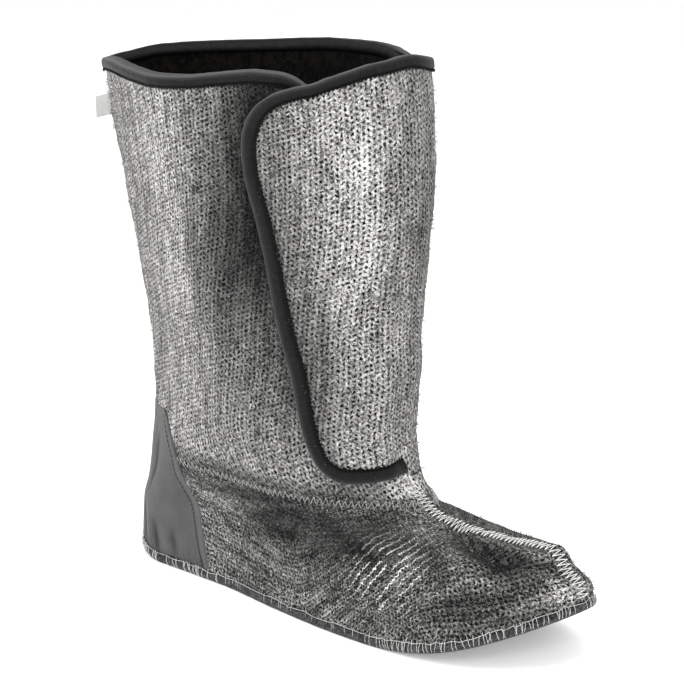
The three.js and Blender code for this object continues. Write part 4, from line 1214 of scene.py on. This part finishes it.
sole_t = np.linspace(0.004, 0.996, 240)[:, None]
roll = np.linspace(0, np.pi, 11)[None, :]
roll_height = SOLE_FELT * (1 - np.cos(roll)) / 2 * np.ones_like(sole_t)
roll_out = SOLE_ROLL * (-0.8 + 1.8 * np.sin(roll)) * np.ones_like(sole_t)
near_side, far_side = [sole_rim(np.full_like(roll_out, side), sole_t * np.ones_like(roll), roll_height,
                                roll_out + 0.15 * lumps(np.stack([sole_t * 400 + 0 * roll, roll_height, roll_out + side], -1), 4, 51))
                       for side in (NEAR, FAR)]
cap = np.linspace(0, 1, 18)[None, 1:-1, None]
top_cap = mix(near_side[:, -1:], far_side[:, -1:], cap)
bottom_cap = mix(far_side[:, :1], near_side[:, :1], cap)
sole_points = np.concatenate([near_side, top_cap, far_side[:, ::-1], bottom_cap], axis=1)
stations, sides = sole_points.shape[:2]
sole_faces = grid_faces(stations, sides, round_columns=True)
sole_faces += [list(range(sides))[::-1], list(range((stations - 1) * sides, stations * sides))]
sole = mesh_piece("sole_felt", sole_points.reshape(-1, 3), sole_faces, sole_felt.material)
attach(sole, "root")
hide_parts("sole")

rim_dice = np.random.default_rng(33)
rim_girth = (half_girth(NEAR, 3.0), half_girth(FAR, 3.0))
rim_widths = np.arange(rim_girth[0] - 1, -rim_girth[1] + 1, -1.6)
rim_x = wrap(rim_widths, np.full_like(rim_widths, 3.0), 0)[:, 0]
strong = 1 - smooth(rim_x, 42, 60) * (1 - smooth(rim_x, 150, 185))
kept = rim_dice.random(len(rim_widths)) < 0.2 + 0.35 * strong + 0.2 * smooth(rim_x, 140, 185)
rim_widths, strong, thick = rim_widths[kept], strong[kept], (0.23 - 0.07 * smooth(rim_x, 120, 180))[kept]
slope = rim_dice.normal(-0.9, 1.1, len(rim_widths))
reach_up = rim_dice.normal(0, 0.6, len(rim_widths))
bar = []
for share, height, out in ((0.0, 6.6, 0.2), (0.3, 5.2, 1.0), (0.65, 2.8, 1.55), (1.0, 0.9, 0.9)):
    width = np.clip(rim_widths + slope * share, -rim_girth[1] + 0.5, rim_girth[0] - 0.5)
    side, t = place_at(width, np.full_like(width, 3.0))
    bar.append(sole_rim(side, t, height + reach_up * (height > 5), out - 0.45 * (1 - strong)))
bars = np.stack(bar, axis=1)
bar_normals = np.repeat(normals_at(rim_widths, np.full_like(rim_widths, 3.0))[:, None], 4, axis=1)
threads("sole_bar_stitches", bars, bar_normals, mix(0.12, thick, strong)[:, None], white_thread)
side, t = place_at(rim_widths, np.full_like(rim_widths, 3.0))
top_line = sole_rim(side, t, 5.8 + rim_dice.normal(0, 0.45, len(t)), 0.75 - 0.4 * (1 - strong))
centres, normals = arches(top_line[:-1], top_line[1:], normals_at(rim_widths[:-1], np.full(len(t) - 1, 3.0)), 0.25)
threads("sole_edge_stitches", centres, normals, 0.17, white_thread)

# Fuzz
# Short wool fibres stand out of the felt everywhere. They show as a fringe where the surface turns away, and they
# are a little longer on the shaft than on the foot.
def fuzz(name, count, lowest, highest, length, finish, slot, seed):
    """Fibres: from a random place on the last each leaves the felt in a direction between outwards
    and sideways, and bends over by a third of its length."""
    dice = np.random.default_rng(seed)
    level = dice.uniform(lowest, highest, count)
    width = mix(-half_girth(FAR, level) + 1, half_girth(NEAR, level) - 1, dice.random(count))
    normal = unit(normals_at(width, level))
    sideways = np.cross(normal, unit(dice.normal(size=(count, 3))))
    reach = length * dice.uniform(0.4, 1.0, count)[:, None]
    bare = under_patch(width, level, -4) < 0.02
    width, level, normal, sideways, reach = width[bare], level[bare], normal[bare], sideways[bare], reach[bare]
    start = wrap(width, level, -tuck(width, level) * (width > flap_width(level)) - 0.8
                 + np.where((width < flap_width(level)) & (level > FLAP_BOTTOM), flap_lift(width, level), 0))
    middle = start + (normal * 1.0 + sideways * 0.4) * reach * 0.6
    end = middle + (normal * 0.5 + sideways * 0.9) * reach * 0.5
    centres = np.stack([start, middle, end], axis=1)
    thin = np.array([0.16, 0.13, 0.06])[None, :]
    threads(name, centres, np.repeat(normal[:, None], 3, 1), thin, finish, 3)


pale_fibre = thread_finish("pale_fibre", grey(0.04), grey(0.26, 0.02), 0.9)
dark_fibre = thread_finish("dark_fibre", grey(0.03), grey(0.12), 0.9)
fuzz("shaft_fuzz", 7000, SEAM_LEVEL + 2, SHAFT_HEIGHT - 10, 4.2, pale_fibre, "shaft_felt", 61)
fuzz("foot_fuzz", 3500, UPPER_BOTTOM + 4, SEAM_LEVEL - 1, 3.4, dark_fibre, "foot_felt", 62)

# Studio
# A plain pale floor and soft light from large lamps, and the camera at the photograph's angle.
floor_size = 6.0
bpy.ops.mesh.primitive_plane_add(size=floor_size, location=(0, 0, 0))
floor = bpy.context.object
floor.name = "floor"
floor_finish = Finish("floor", Roughness=0.9, Specular_IOR_Level=0.1, Emission_Strength=0.25)
floor_finish.shader.inputs["Base Color"].default_value = grey(0.93)
floor.data.materials.append(floor_finish.material)


def lamp(name, power, size, place, target):
    light = bpy.data.lights.new(name, "AREA")
    light.energy = power
    light.size = size
    item = bpy.data.objects.new(name, light)
    item.location = place
    item.rotation_euler = (Vector(target) - Vector(place)).to_track_quat("-Z", "Y").to_euler()
    bpy.context.scene.collection.objects.link(item)


MIDDLE = (0.08, 0.0, 0.12)
lamp("left_lamp", 16, 0.9, (-0.9, -1.0, 1.1), MIDDLE)
lamp("right_lamp", 12, 0.9, (1.3, -0.9, 0.9), MIDDLE)
lamp("top_lamp", 8, 1.4, (0.1, 0.1, 1.9), MIDDLE)

world = bpy.data.worlds.new("studio")
world.use_nodes = True
world.node_tree.nodes["Background"].inputs["Color"].default_value = (1, 1, 1, 1)
world.node_tree.nodes["Background"].inputs["Strength"].default_value = 1.0
bpy.context.scene.world = world
bpy.context.scene.view_settings.view_transform = "Standard"

CAMERA_AZIMUTH = math.radians(42.155)
CAMERA_HEIGHT = math.radians(13.309)
CAMERA_ROLL = math.radians(0.532)
CAMERA_DISTANCE = 1.099634
CAMERA_TARGET = Vector((0.10168, 0.00403, 0.1399))
back = Vector((math.sin(CAMERA_AZIMUTH) * math.cos(CAMERA_HEIGHT),
               -math.cos(CAMERA_AZIMUTH) * math.cos(CAMERA_HEIGHT), math.sin(CAMERA_HEIGHT)))
right = Vector((math.cos(CAMERA_AZIMUTH), math.sin(CAMERA_AZIMUTH), 0))
up = back.cross(right)
rolled_right = right * math.cos(CAMERA_ROLL) + up * math.sin(CAMERA_ROLL)
rolled_up = up * math.cos(CAMERA_ROLL) - right * math.sin(CAMERA_ROLL)
camera_data = bpy.data.cameras.new("camera")
camera_data.lens = 107.32
camera_data.sensor_width = 36
camera = bpy.data.objects.new("camera", camera_data)
turn = Matrix((rolled_right, rolled_up, back)).transposed()
camera.matrix_world = Matrix.Translation(CAMERA_TARGET + back * CAMERA_DISTANCE) @ turn.to_4x4()
bpy.context.scene.collection.objects.link(camera)
bpy.context.scene.camera = camera
